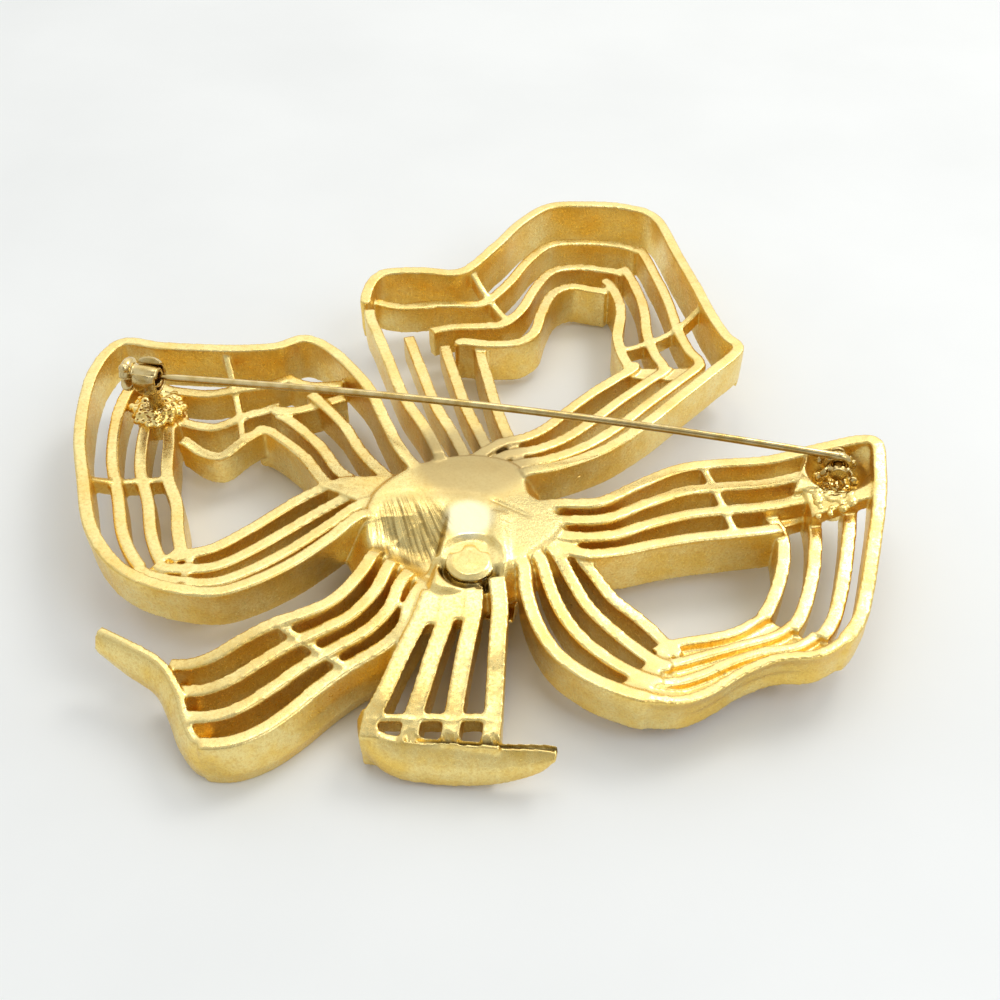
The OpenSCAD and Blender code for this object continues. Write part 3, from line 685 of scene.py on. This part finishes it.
def melt(name, form, voxel, rounds, waves=0.0, wave_size=1.0, most=190000):
    # all lengths in mm, and most is the number of triangles it may have
    mesh = bpy.data.meshes.new(name)
    mesh.from_pydata([(x * MM, y * MM, z * MM) for x, y, z in form["points"]], [], form["faces"])
    mesh.update()
    piece = put(name, mesh)
    remesh = piece.modifiers.new("one skin", "REMESH")
    remesh.mode, remesh.voxel_size = "VOXEL", voxel * MM
    soften = piece.modifiers.new("tumbled edges", "SMOOTH")
    soften.factor, soften.iterations = 0.5, rounds
    if waves:
        cloud = bpy.data.textures.new(name + " waves", "CLOUDS")
        cloud.noise_scale, cloud.noise_depth = wave_size * MM, 2
        push = piece.modifiers.new("hand work", "DISPLACE")
        push.texture, push.texture_coords = cloud, "GLOBAL"
        push.strength, push.mid_level = waves * MM, 0.5
    made = apply_changes(piece)
    triangles = sum(len(p.vertices) - 2 for p in made.polygons)
    if triangles > most:
        thin = piece.modifiers.new("thin out", "DECIMATE")
        thin.ratio, thin.use_collapse_triangulate = most / triangles, True
        made = apply_changes(piece)
    keep_inside(made)
    made.shade_smooth()
    print(name, "has", min(triangles, most), "triangles")
    return piece


casting = melt("casting", casting_form, 0.15, 7, 0.05, 1.8, 700000)

# %% [markdown]
# ## A fine line behind the lip
#
# Behind the second tail's bowed end runs a fine dark line, where lip and slats were joined in the wax. The
# points of the skin that lie near the wall's top are pressed down by half a millimetre, most in the line's
# middle. It is cut after the remesh, which would have closed it.

# %% Cut the line
spots = spots_of(casting.data)
lip = np.array([to_mm(bend(ENDS["e"], t)) for t in np.linspace(0.02, 0.62, 240)]) * MM
CUT_WIDE, CUT_DEEP = 0.22 * MM, 0.5 * MM
for p in lip:
    away = np.hypot(spots[:, 0] - p[0], spots[:, 1] - p[1]) / CUT_WIDE
    near = (away < 1.3) & (np.abs(spots[:, 2] - p[2]) < 0.6 * MM)
    spots[near, 2] = np.minimum(spots[near, 2], p[2] - CUT_DEEP * np.exp(-away[near] ** 2))
casting.data.vertices.foreach_set("co", spots.ravel())
casting.data.update()
print("a line", round(float(np.linalg.norm(lip[-1] - lip[0])) / MM, 1), "mm long")

# %% [markdown]
# ## Sharing the casting out
#
# One mesh of 700,000 triangles is hard to handle, so the casting is cut like a cake round the hub, in four
# slices of equal face count. Each point keeps the whole skin's normal, so no seam shows.


# %% Four slices of one casting
def share_out(whole, parts):
    mesh = whole.data
    spots, normals = spots_of(mesh), np.zeros(len(mesh.vertices) * 3, np.float32)
    mesh.vertex_normals.foreach_get("vector", normals)
    normals = normals.reshape(-1, 3)
    corners = np.zeros(len(mesh.loops), np.int32)
    mesh.loops.foreach_get("vertex_index", corners)
    corners = corners.reshape(len(mesh.polygons), -1)
    middle = spots[corners].mean(axis=1) / MM
    angle = np.arctan2(middle[:, 1] - HUB_Y, middle[:, 0] - HUB_X)
    slice_of = np.searchsorted(np.quantile(angle, np.linspace(0, 1, parts + 1)[1:-1]), angle)
    pieces = []
    for k in range(parts):
        used, faces = np.unique(corners[slice_of == k], return_inverse=True)
        part = bpy.data.meshes.new(f"casting_{k}")
        part.from_pydata(spots[used].tolist(), [], faces.reshape(-1, corners.shape[1]).tolist())
        part.shade_smooth()
        part.normals_split_custom_set_from_vertices(normals[used].tolist())
        piece = put(f"casting_{k}", part)
        pieces.append(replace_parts(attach(piece, "bow"), "bow"))
        print(piece.name, "has", len(part.loops) - 2 * len(part.polygons), "triangles")
    bpy.data.objects.remove(whole)
    return pieces


slices = share_out(casting, 4)

# %% Melt the solder
solder = melt("solder", solder_form, 0.11, 5, 0.12, 0.7)
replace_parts(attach(solder, "bow"), "bow")

# %% [markdown]
# ## Soldered findings
#
# The hinge's two cheeks and the catch's collar are bought parts, stamped and turned from brass sheet and
# tube. They are soldered to the casting. Each is a few plain forms in small sizes, melted together with
# a fine voxel so that its edges come out round and polished. Small drops of solder sit on the cheeks.

# %% The hinge's cheeks
joint_form = new_form()
HINGE_Z, EYE_GAP, CHEEK_T, CHEEK_R = 9.626, 1.048, 1.05, 1.85
post(JOINT_X, PIN_Y, SEAT_Z + 0.65, 2.15, 0.4, 40)
post(JOINT_X, PIN_Y, SEAT_Z + 0.5, 1.7, 0.9, 40)
for side in (-1, 1):
    y = PIN_Y + side * (EYE_GAP + CHEEK_T) / 2
    outline = [(-2.05, SEAT_Z + 0.3), (2.05, SEAT_Z + 0.3)]
    for a in math.pi * np.arange(25) / 24:
        outline.append((CHEEK_R * math.cos(a), min(HINGE_Z + CHEEK_R * math.sin(a), HINGE_Z + 1.1)))
    # there and back again, because a skin's ends are closed across the ring
    skin([[(JOINT_X + x, y + step * CHEEK_T / 2, z) for x, z in outline + outline[::-1]] for step in (-1, 1)])
for k in range(40):
    side, a = (-1, 1)[k % 2], rng.uniform(0.1, 3.04)
    x, z = 1.75 * math.cos(a), HINGE_Z - 1.6 + 1.9 * math.sin(a)
    ball(JOINT_X + x, PIN_Y + side * (EYE_GAP / 2 + 0.65), z, rng.uniform(.25, .45))
hinge = melt("pin_joint", joint_form, 0.07, 8, 0.22, 0.4)
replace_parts(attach(hinge, "bow"), "bow")

# %% A round groove for the rivet's head
for v in hinge.data.vertices:
    away = math.hypot(v.co.x / MM - JOINT_X, v.co.z / MM - HINGE_Z)
    across = v.co.y / MM - PIN_Y
    if abs(across) > 1.0:
        v.co.y -= math.copysign(0.4 * math.exp(-(((away - 1.0) / 0.22) ** 2)), across) * MM
hinge.data.update()
print("the cheeks stand", EYE_GAP, "mm apart")

# %% [markdown]
# ## The turning catch
#
# The collar is a ring with a slot at its top, 75 degrees wide, and a rounded bar swept round the rest of a
# circle makes it. The sleeve inside it is made the same way, with a flange and a thumb tab at its left. In
# the photo the catch is shut: the sleeve's slot lies a quarter turn away from the collar's.


# %% A rounded bar, swept round the pin's line
def ring_bar(x0, x1, r_in, r_out, start, end, z_axis, steps=40, round_it=0.6):
    # The cross-section is flat inside, and its outside is a bow like a barrel's. Angles are in degrees.
    section = []
    for k in range(16):
        c, s = math.cos(math.pi * (k + 0.5) / 8), math.sin(math.pi * (k + 0.5) / 8)
        wide = math.copysign(abs(c) ** (round_it if s > 0 else 0.4), c)
        high = 0.12 + 0.88 * s ** round_it if s > 0 else 0.12 * (1 + s)
        section.append(((x0 + x1) / 2 + wide * (x1 - x0) / 2, r_in + (r_out - r_in) * high))
    rings = []
    for k in range(steps + 1):
        a = math.radians(180 - (start + (end - start) * k / steps))
        rings.append([(x, PIN_Y + r * math.cos(a), z_axis + r * math.sin(a)) for x, r in section])
    skin(rings)


# %% The collar on its foot
collar_form = new_form()
CATCH_Z, SLOT_MID = 10.847, 88
ring_bar(CATCH_X - 1.3, CATCH_X + 1.3, 1.3, 2.05, SLOT_MID + 30, SLOT_MID + 315, CATCH_Z, 60, 1.0)
post(CATCH_X, PIN_Y, SEAT_Z + 0.3, 1.3, 0.9, 32)
post(CATCH_X, PIN_Y, CATCH_Z - 1.45, 0.7, 3.2, 24)
for k in range(14):
    x, y = CATCH_X + 1.2 * math.cos(2.4 * k), PIN_Y + 1.2 * math.sin(2.4 * k)
    ball(x, y, SEAT_Z + 0.2, rng.uniform(.3, .5))
collar = melt("catch_collar", collar_form, 0.08, 7, 0.06, 0.5)
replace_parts(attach(collar, "bow"), "bow")

# %% The turning sleeve with its flange and tab
sleeve_form = new_form()
SHUT_MID = SLOT_MID - 90
ring_bar(CATCH_X - 2.1, CATCH_X + 1.25, 0.6, 1.22, SHUT_MID + 28, SHUT_MID + 332, CATCH_Z)
ring_bar(CATCH_X - 2.9, CATCH_X - 1.4, 0.6, 1.85, SHUT_MID + 24, SHUT_MID + 336, CATCH_Z, 60, 1.0)
tab = math.radians(180 - 60)
for k in range(5):
    r = 1.3 + 0.05 * k
    ball(CATCH_X - 2.15, PIN_Y + r * math.cos(tab), CATCH_Z + r * math.sin(tab), 0.62)
sleeve = melt("catch_sleeve", sleeve_form, 0.07, 4)
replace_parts(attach(sleeve, "rotor"), "catch_rotor")

# %% [markdown]
# ## Softening the small solids
#
# The knot with its riveted post, and the hinge's rivet, have the right shape in the solid model but knife
# edges. Remeshing a copy rounds them a little. The post's end was hammered over and then filed, so its head
# is slightly domed, with a dished ring and two nicks at its far edge.


# %% Rounded copies of two solids
def softened(node, voxel, rounds, body, waves=0.0, wave_size=1.0):
    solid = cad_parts[node].data
    form = {
        "points": [tuple(v.co / MM) for v in solid.vertices],
        "faces": [tuple(p.vertices) for p in solid.polygons]}
    piece = melt(node + "_soft", form, voxel, rounds, waves, wave_size)
    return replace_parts(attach(piece, body), node)


knot = softened("knot", 0.14, 3, "bow", 0.10, 1.0)
rivet = softened("hinge_rivet", 0.05, 14, "bow")

# %% The riveted head
HEAD_Z = 7.6
for v in knot.data.vertices:
    x, y = v.co.x / MM - RIVET_X, v.co.y / MM - RIVET_Y
    r = math.hypot(x, y)
    if v.co.z > HEAD_Z * MM:
        drop = 0.45 * (v.co.z / MM - HEAD_Z) + 0.05 * r * r - 0.12 * math.exp(-(((r - 1.7) / 0.3) ** 2))
        for nick_x, nick_y in ((-1.6, 1.5), (0.9, 2.0)):
            drop += 0.9 * math.exp(-((x - nick_x) ** 2 + (y - nick_y) ** 2) / 0.2)
        v.co.z -= drop * MM
knot.data.update()
print("the head ends", round(max(v.co.z for v in knot.data.vertices) / MM, 2), "mm above the table")

# %% [markdown]
# ## One way to add a node
#
# Every material below is a small net of nodes. This one function adds a node, sets what it needs and
# joins its inputs, so each material reads as a list of what it is made of. Names in small letters are the
# node's settings and names with a capital are its inputs. Where input names repeat, i0 means the first. A
# node given to an input is joined by its first live output.


# %% Colours and nodes
def linear(hex_colour):
    parts = [int(hex_colour[i:i + 2], 16) / 255 for i in (1, 3, 5)]
    return tuple(c / 12.92 if c <= 0.04045 else ((c + 0.055) / 1.055) ** 2.4 for c in parts) + (1.0,)


def add(tree, kind, **values):
    node = tree.nodes.new("ShaderNode" + kind)
    for key, value in values.items():
        numbered = key[0] == "i" and key[1:].isdigit()
        if key == "stops":
            # a ramp's stops, each with its place and its colour
            ramp = node.color_ramp
            while len(ramp.elements) < len(value):
                ramp.elements.new(0.5)
            for element, (spot, colour) in zip(ramp.elements, value):
                element.position, element.color = spot, linear(colour)
        elif key[0].islower() and not numbered:
            setattr(node, key, value)
        else:
            socket = node.inputs[int(key[1:]) if numbered else key.replace("_", " ")]
            if isinstance(value, bpy.types.Node):
                value = next(output for output in value.outputs if output.enabled)
            if isinstance(value, bpy.types.NodeSocket):
                tree.links.new(value, socket)
            else:
                socket.default_value = value
    return node


def start(name):
    paint = bpy.data.materials.new(name)
    paint.use_nodes = True
    paint.node_tree.nodes.clear()
    return paint, paint.node_tree


def wear(piece, paint):
    piece.data.materials.clear()
    piece.data.materials.append(paint)


# settings that many nodes share: a gentle step, and a mix of two colours
SOFT, TINTS = {"interpolation_type": "SMOOTHSTEP"}, {"data_type": "RGBA"}
print("pale gold is", [round(c, 3) for c in linear("#F4D27A")[:3]])

# %% [markdown]
# ## Gold plate over a rough casting
#
# The bow is a tin alloy casting with a thin coat of yellow gold. The plate follows every grain of the mould,
# so most of the back looks like fine sandpaper, dull and sparkling at once. Where a file ran over it, on the
# tops of the slats, it is smoother and brighter. Gold has a metallic value of 1 and keeps the default IOR.
# Its roughness runs from 0.2 where it was filed to 0.45 where the mould's skin is left. Deep between the
# slats the light bounces from gold to gold and turns orange, and a redder tint painted on the walls adds
# painted bounce light to it.
#
# First come the places where the plate differs. A round patch is full inside one radius and fades out at
# another, and a few of them on the hub say where it was brushed and painted with shade, left dull, polished
# and painted with a highlight, or left sandy.


# %% Where the plate differs
def round_patch(tree, place, centre, inner, outer, full, rest=0.0):
    middle = tuple(v * MM for v in centre)
    away = add(tree, "VectorMath", operation="DISTANCE", i0=place, i1=middle)
    return add(tree, "MapRange", **SOFT, Value=away, From_Min=inner * MM, From_Max=outer * MM,
        To_Min=full, To_Max=rest)


def wear_and_painted_light_places(tree, place):
    facing = add(tree, "NewGeometry").outputs["Normal"]
    up = add(tree, "SeparateXYZ", Vector=facing).outputs["Z"]
    return {
        # near 1 where the surface looks up out of the back, which is where a file reaches
        "filed": add(tree, "MapRange", **SOFT, Value=up, From_Min=0.72, From_Max=0.97),
        # the brushed hollow south of the crease, which carries the brush's strokes and painted shade
        "brushed_and_shaded": round_patch(tree, place, (-2.9, -16.4, 7.2), 3.4, 4.6, 1.0, 0.06),
        "dull": round_patch(tree, place, (1.5, -6.2, 8.2), 4.8, 7.6, 0.85),
        # painted highlight: a pale patch by the rivet, where the smooth facet mirrors the light; it is also
        # polished smoother
        "rubbed_and_painted_highlight": round_patch(tree, place, (2.6, -14.8, 8.0), 1.8, 3.0, 1.0),
        "sandy": round_patch(tree, place, (8.2, -14.0, 7.8), 2.8, 4.6, 0.9),
    }


print("the brushed hollow is about", round(2 * 3.4 + 1.2), "mm across")

# %% [markdown]
# Brush strokes are noise in polar form. Angle and distance from a point stand in for x and y, and the noise
# changes quickly with the angle and slowly with the distance, so it draws lines that fan out.


# %% Strokes of the brush
def brush_strokes(tree, place):
    # the strokes fan out from a point beyond the left loop
    spot = add(tree, "VectorMath", operation="SUBTRACT", i0=place, i1=(-14.0 * MM, 4.0 * MM, 0.0))
    parts = add(tree, "SeparateXYZ", Vector=spot)
    angle = add(tree, "Math", operation="ARCTAN2", i0=parts.outputs["X"], i1=parts.outputs["Y"])
    reach = add(tree, "VectorMath", operation="LENGTH", i0=spot)
    polar = add(tree, "CombineXYZ", X=angle, Y=reach)
    polar = add(tree, "Mapping", Vector=polar, Scale=(48.0, 160.0, 1.0))
    return add(tree, "TexNoise", Vector=polar, Scale=1.0, Detail=2.0, Roughness=0.6)


print("20 mm from that point a stroke is about", round(20 / 48, 1), "mm wide")

# %% [markdown]
# Painted shade darkens the groove on the near side of the rivet and the fine cut behind the second tail's
# lip, where these recesses lie in shadow. Each is a distance turned into a narrow band, once from a circle
# and once from a straight line, times a step that ends the band at one side.


# %% Painted shade in the groove and the cut
# the groove's middle is this far from the rivet's, in mm
GROOVE_R = 2.62


def near_zero(tree, distance, full, none, strength):
    size = add(tree, "Math", operation="ABSOLUTE", i0=distance)
    return add(tree, "MapRange", **SOFT, Value=size, From_Min=full * MM, From_Max=none * MM,
        To_Min=strength, To_Max=0.0)


def painted_groove_shade(tree, place):
    flat = add(tree, "VectorMath", operation="MULTIPLY", i0=place, i1=(1.0, 1.0, 0.0))
    ring = add(tree, "VectorMath", operation="DISTANCE", i0=flat, i1=(RIVET_X * MM, RIVET_Y * MM, 0.0))
    ring = add(tree, "Math", operation="SUBTRACT", i0=ring, i1=GROOVE_R * MM)
    ring = near_zero(tree, ring, 0.18, 0.5, 0.85)
    xyz = add(tree, "SeparateXYZ", Vector=place)
    near = add(tree, "MapRange", **SOFT, Value=xyz.outputs["Y"], From_Min=(RIVET_Y - 1.2) * MM,
        From_Max=(RIVET_Y + 0.4) * MM, To_Min=1.0, To_Max=0.0)
    groove = add(tree, "Math", operation="MULTIPLY", i0=ring, i1=near)
    # the cut follows the line y = 0.11 x - 38.3 mm
    cut = add(tree, "VectorMath", operation="DOT_PRODUCT", i0=place, i1=(-0.11, 1.0, 0.0))
    cut = add(tree, "Math", operation="ADD", i0=cut, i1=38.3 * MM)
    cut = near_zero(tree, cut, 0.1, 0.28, 0.9)
    right = add(tree, "MapRange", **SOFT, Value=xyz.outputs["X"], From_Min=2.5 * MM, From_Max=5.0 * MM)
    cut = add(tree, "Math", operation="MULTIPLY", i0=cut, i1=right)
    return groove, cut


print("the rivet's groove is dark from", GROOVE_R - 0.5, "to", GROOVE_R + 0.5, "mm out")

# %% [markdown]
# The colour is built in layers, as a picture is painted: patches of thicker and thinner plate first, and then
# over them painted bounce light on the walls, sand and its pits, the dull and sandy patches, a painted
# highlight, and painted shade in the brushed hollow, the groove and the cut, each with its own mask.


# %% Colour of the plate
def plate_colour(tree, place, sand, strokes, places, bright, deep, pit):
    patches = add(tree, "TexNoise", Vector=place, Scale=1 / (4 * MM), Detail=3.0, Roughness=0.6)
    plate = add(tree, "ValToRGB", stops=[(0.3, deep), (0.62, bright)], Fac=patches)
    # the walls, which no file reached, take a redder tint in patches: painted bounce light for the orange
    # glow between the slats
    walls = add(tree, "Math", operation="SUBTRACT", i0=1.0, i1=places["filed"])
    painted_side_tint = add(tree, "MapRange", Value=patches, From_Min=0.38, From_Max=0.6, To_Min=0.5, To_Max=0.12)
    painted_side_tint = add(tree, "Math", operation="MULTIPLY", i0=painted_side_tint, i1=walls)
    # the grain is darker in its pits
    dark = add(tree, "MapRange", Value=sand, From_Min=0.36, From_Max=0.52, To_Min=0.35, To_Max=0.0)
    # painted shade: the brushed hollow is tinted dull brown line by line, along the brush's strokes
    lines = add(tree, "MapRange", Value=strokes, From_Min=0.4, From_Max=0.6, To_Min=0.75, To_Max=0.1)
    shaded_strokes = add(tree, "Math", operation="MULTIPLY", i0=lines, i1=places["brushed_and_shaded"])
    # painted shade in the rivet's groove and in the cut behind the lip
    groove, cut = painted_groove_shade(tree, place)
    # layers: painted bounce light on the walls, pits, sandy and dull patches, a painted highlight, and
    # painted shade in the hollow, the groove and the cut
    layers = [
        (painted_side_tint, "#FAD050"), (places["sandy"], "#DFCE90"), (dark, pit), (places["dull"], "#C6B17C"),
        (places["rubbed_and_painted_highlight"], "#FFF6C8"), (shaded_strokes, "#8A7038"), (groove, "#5E4210"), (cut, "#4A3410"),
    ]
    for share, colour in layers:
        plate = add(tree, "Mix", **TINTS, i0=share, i6=plate, i7=linear(colour))
    return plate


print("the film is", [round(c, 3) for c in linear("#FAD050")[:3]])

# %% [markdown]
# Roughness falls where the file and the cloth went, and rises on the dull plane. The relief is four bumps,
# one over the other: slow lumps, the brush's strokes, the mould's sand and its pits. None is deeper than
# 0.12 mm. Sand in a mould is near 0.1 mm wide. It is drawn at 0.26 to 0.3 mm, so that it still shows.


# %% Roughness and relief of the plate
def plate_roughness(tree, sand, places, rough):
    value = add(tree, "MapRange", Value=sand, From_Min=0.35, From_Max=0.65,
        To_Min=rough + 0.10, To_Max=rough - 0.10)
    for name, change in (("filed", -0.06), ("dull", 0.16), ("rubbed_and_painted_highlight", -0.10)):
        value = add(tree, "Math", operation="MULTIPLY_ADD", i0=places[name], i1=change, i2=value)
    return value


def plate_relief(tree, place, sand, strokes, places, grain_mm, grain_depth):
    pits = add(tree, "TexVoronoi", Vector=place, Scale=1 / (2.0 * grain_mm * MM))
    lumps = add(tree, "TexNoise", Vector=place, Scale=1 / (1.3 * MM), Detail=1.0, Roughness=0.5)
    # filed tops are smoother, and the hub's right end was never filed and keeps its sand
    coarse = add(tree, "MapRange", Value=places["filed"], From_Min=0.0, From_Max=1.0,
        To_Min=grain_depth, To_Max=0.15 * grain_depth)
    coarse = add(tree, "Math", operation="MAXIMUM", i0=coarse, i1=places["sandy"])
    bump = add(tree, "Bump", Strength=0.15, Distance=0.12 * MM, Height=lumps)
    for strength, depth, height in (
            (places["brushed_and_shaded"], 0.12, strokes), (coarse, 0.07, sand), (0.2, 0.03, pits)):
        bump = add(tree, "Bump", Strength=strength, Distance=depth * MM, Height=height, Normal=bump)
    return bump


print("two parts of the plate's look, roughness and relief")


# %% Gold plate
def gold_plate(name, grain_mm, grain_depth, rough, bright="#FDE9A0", deep="#F7D884", pit="#D8A850"):
    paint, tree = start(name)
    place = add(tree, "TexCoord").outputs["Object"]
    places = wear_and_painted_light_places(tree, place)
    strokes = brush_strokes(tree, place)
    sand = add(tree, "TexNoise", Vector=place, Scale=1 / (grain_mm * MM), Detail=3.0, Roughness=0.7)
    metal = add(tree, "BsdfPrincipled", Metallic=1.0,
        Base_Color=plate_colour(tree, place, sand, strokes, places, bright, deep, pit),
        Roughness=plate_roughness(tree, sand, places, rough),
        Normal=plate_relief(tree, place, sand, strokes, places, grain_mm, grain_depth))
    add(tree, "OutputMaterial", Surface=metal)
    return paint


cast_gold = gold_plate("gold_plate_on_casting", 0.26, 0.6, 0.34)
for piece in slices:
    wear(piece, cast_gold)
wear(knot, gold_plate("gold_plate_filed", 0.3, 0.3, 0.28))
wear(solder, gold_plate("gold_plate_on_solder", 0.3, 0.3, 0.24))
print(len(cast_gold.node_tree.nodes), "nodes in the gold plate")

# %% [markdown]
# ## Polished brass findings
#
# The pin, its hinge and its catch were bought ready polished, and the plate on them is thinner and paler.
# Roughness is near 0.15, as on polished brass. Drawn wire keeps faint lines along its length, which are finer
# than a tenth of a millimetre and are drawn at 0.15 mm. The sides that face down are painted a darker brown,
# a painted shade, and the tops keep the clean colour.


# %% Pale polished brass
def polished_brass(name, along, rough=0.16, colour="#E9D49A", shade="#CDAF66"):
    paint, tree = start(name)
    place = add(tree, "TexCoord").outputs["Object"]
    haze = add(tree, "TexNoise", Vector=place, Scale=1 / (1.5 * MM), Detail=3.0)
    tint = add(tree, "ValToRGB", stops=[(0.35, shade), (0.6, colour)], Fac=haze)
    roughness = add(tree, "MapRange", Value=haze, From_Min=0.3, From_Max=0.7,
        To_Min=rough + 0.1, To_Max=rough)
    drawn_at = add(tree, "Mapping", Vector=place, Scale=along)
    drawn = add(tree, "TexNoise", Vector=drawn_at, Scale=1 / (0.15 * MM), Detail=2.0)
    bump = add(tree, "Bump", Strength=0.25, Distance=0.02 * MM, Height=drawn)
    facing = add(tree, "NewGeometry").outputs["Normal"]
    up = add(tree, "SeparateXYZ", Vector=facing).outputs["Z"]
    # painted shade: the sides that face down are darkened towards brown
    painted_side_tint = add(tree, "MapRange", **SOFT, Value=up, From_Min=0.1, From_Max=0.55, To_Min=0.5, To_Max=0.0)
    tint = add(tree, "Mix", **TINTS, i0=painted_side_tint, i6=tint, i7=linear("#8A6C30"))
    shine = add(tree, "BsdfPrincipled", Base_Color=tint, Metallic=1.0, Roughness=roughness, Normal=bump)
    add(tree, "OutputMaterial", Surface=shine)
    return paint


turned = polished_brass("polished_brass", (1.0, 1.0, 1.0))
for piece in (hinge, collar, sleeve, rivet):
    wear(piece, turned)
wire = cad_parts["pin_stem"]
wear(wire, polished_brass("drawn_brass_wire", (0.05, 1.0, 1.0), 0.14))
wire.data.shade_smooth()
print("brass on the hinge, the collar, the sleeve, the rivet and the wire")

# %% [markdown]
# ## Table
#
# The brooch lies on a pale table. A sheet of white card is matte, and its fibres shift its tone only a
# little.

# %% White card
bpy.ops.mesh.primitive_plane_add(size=3.0, location=(0, 0, 0))
table = bpy.context.object
table.name = "table"
paint, tree = start("white_card")
fibre = add(tree, "TexNoise", Scale=90.0, Detail=4.0)
card = add(tree, "ValToRGB", stops=[(0.3, "#EDF0EF"), (0.7, "#F2F5F4")], Fac=fibre)
matte = add(tree, "BsdfPrincipled", Base_Color=card, Roughness=0.7)
add(tree, "OutputMaterial", Surface=matte)
wear(table, paint)
print("the table is", table.dimensions.x, "m wide")

# %% [markdown]
# ## Light
#
# Polished metal shows what is round it, so the light is mostly a tent of white cloth. It is brightest from
# half height up, a little darker straight overhead and near the table, and the window side behind the
# brooch outshines the front. The tent has a hole for the lens with a dark room behind it. Without the hole
# the flat tops, which mirror it, would burn out to white. Three soft lamps draw the shadows.

# %% A tent of soft light
world = bpy.data.worlds.new("light tent")
bpy.context.scene.world = world
world.use_nodes = True
world.node_tree.nodes.clear()
tree = world.node_tree
ray = add(tree, "TexCoord").outputs["Generated"]
parts = add(tree, "SeparateXYZ", Vector=ray)
tent = add(tree, "ValToRGB", Fac=parts.outputs["Z"], stops=[
    (0.0, "#C9C3BE"), (0.35, "#E9E9EA"), (0.7, "#FFFFFF"), (0.93, "#FFFFFF"), (1.0, "#D2D3D5")])
window = add(tree, "MapRange", **SOFT, Value=parts.outputs["Y"], From_Min=0.1, From_Max=0.75,
    To_Min=0.72, To_Max=1.3)
hole = add(tree, "VectorMath", operation="DISTANCE", i0=ray, i1=(0.12, -0.70, 0.71))
hole = add(tree, "MapRange", **SOFT, Value=hole, From_Min=0.15, From_Max=0.45, To_Min=0.25, To_Max=1.0)
window = add(tree, "Math", operation="MULTIPLY", i0=window, i1=hole)
glow = add(tree, "Background", Color=tent, Strength=window)
add(tree, "OutputWorld", Surface=glow)
print("the tent has", len(tree.nodes), "nodes")


# %% Lamps
def lamp(name, spot, size, power, colour):
    # a square soft box that looks at the brooch
    data = bpy.data.lights.new(name, "AREA")
    data.shape, data.size, data.energy, data.color = "SQUARE", size, power, linear(colour)[:3]
    thing = put(name, data)
    thing.location = spot
    thing.rotation_euler = (-Vector(spot)).to_track_quat("-Z", "Y").to_euler()
    return thing


lamps = [
    lamp("key", (0.16, 0.22, 0.34), 0.14, 0.34, "#FFFAF2"),
    lamp("top", (-0.05, 0.12, 0.42), 0.14, 0.13, "#FFFAF2"),
    lamp("fill", (0.26, -0.10, 0.30), 0.20, 0.25, "#F4F7FF"),
]
print(len(lamps), "lamps and a light tent")

# %% [markdown]
# ## Camera
#
# The camera looks down at 45 degrees, turned a little so that the pin runs from the upper left to the
# right, and stands 130 mm away, as close as a small product is photographed. Light that enters between two
# slats bounces many times before it comes out, so the renderer may follow it for longer than usual.

# %% Camera
TURN, TILT, AWAY = math.radians(-9.8), math.radians(45), 130 * MM
aim = Vector((3.8, -3.74, 0)) * MM
look = Vector((math.sin(TURN) * math.cos(TILT), math.cos(TURN) * math.cos(TILT), -math.sin(TILT)))
view = put("camera", bpy.data.cameras.new("camera"))
view.data.lens, view.data.sensor_width, view.data.sensor_fit = 43.56, 36.0, "HORIZONTAL"
view.data.clip_start = 0.01
view.location = aim - look * AWAY
view.rotation_euler = look.to_track_quat("-Z", "Y").to_euler()
bpy.context.scene.camera = view
bpy.context.scene.view_settings.view_transform = "Standard"
bpy.context.scene.cycles.glossy_bounces = 12
bpy.context.scene.cycles.max_bounces = 16
print("camera at", [round(v / MM, 1) for v in view.location], "mm")
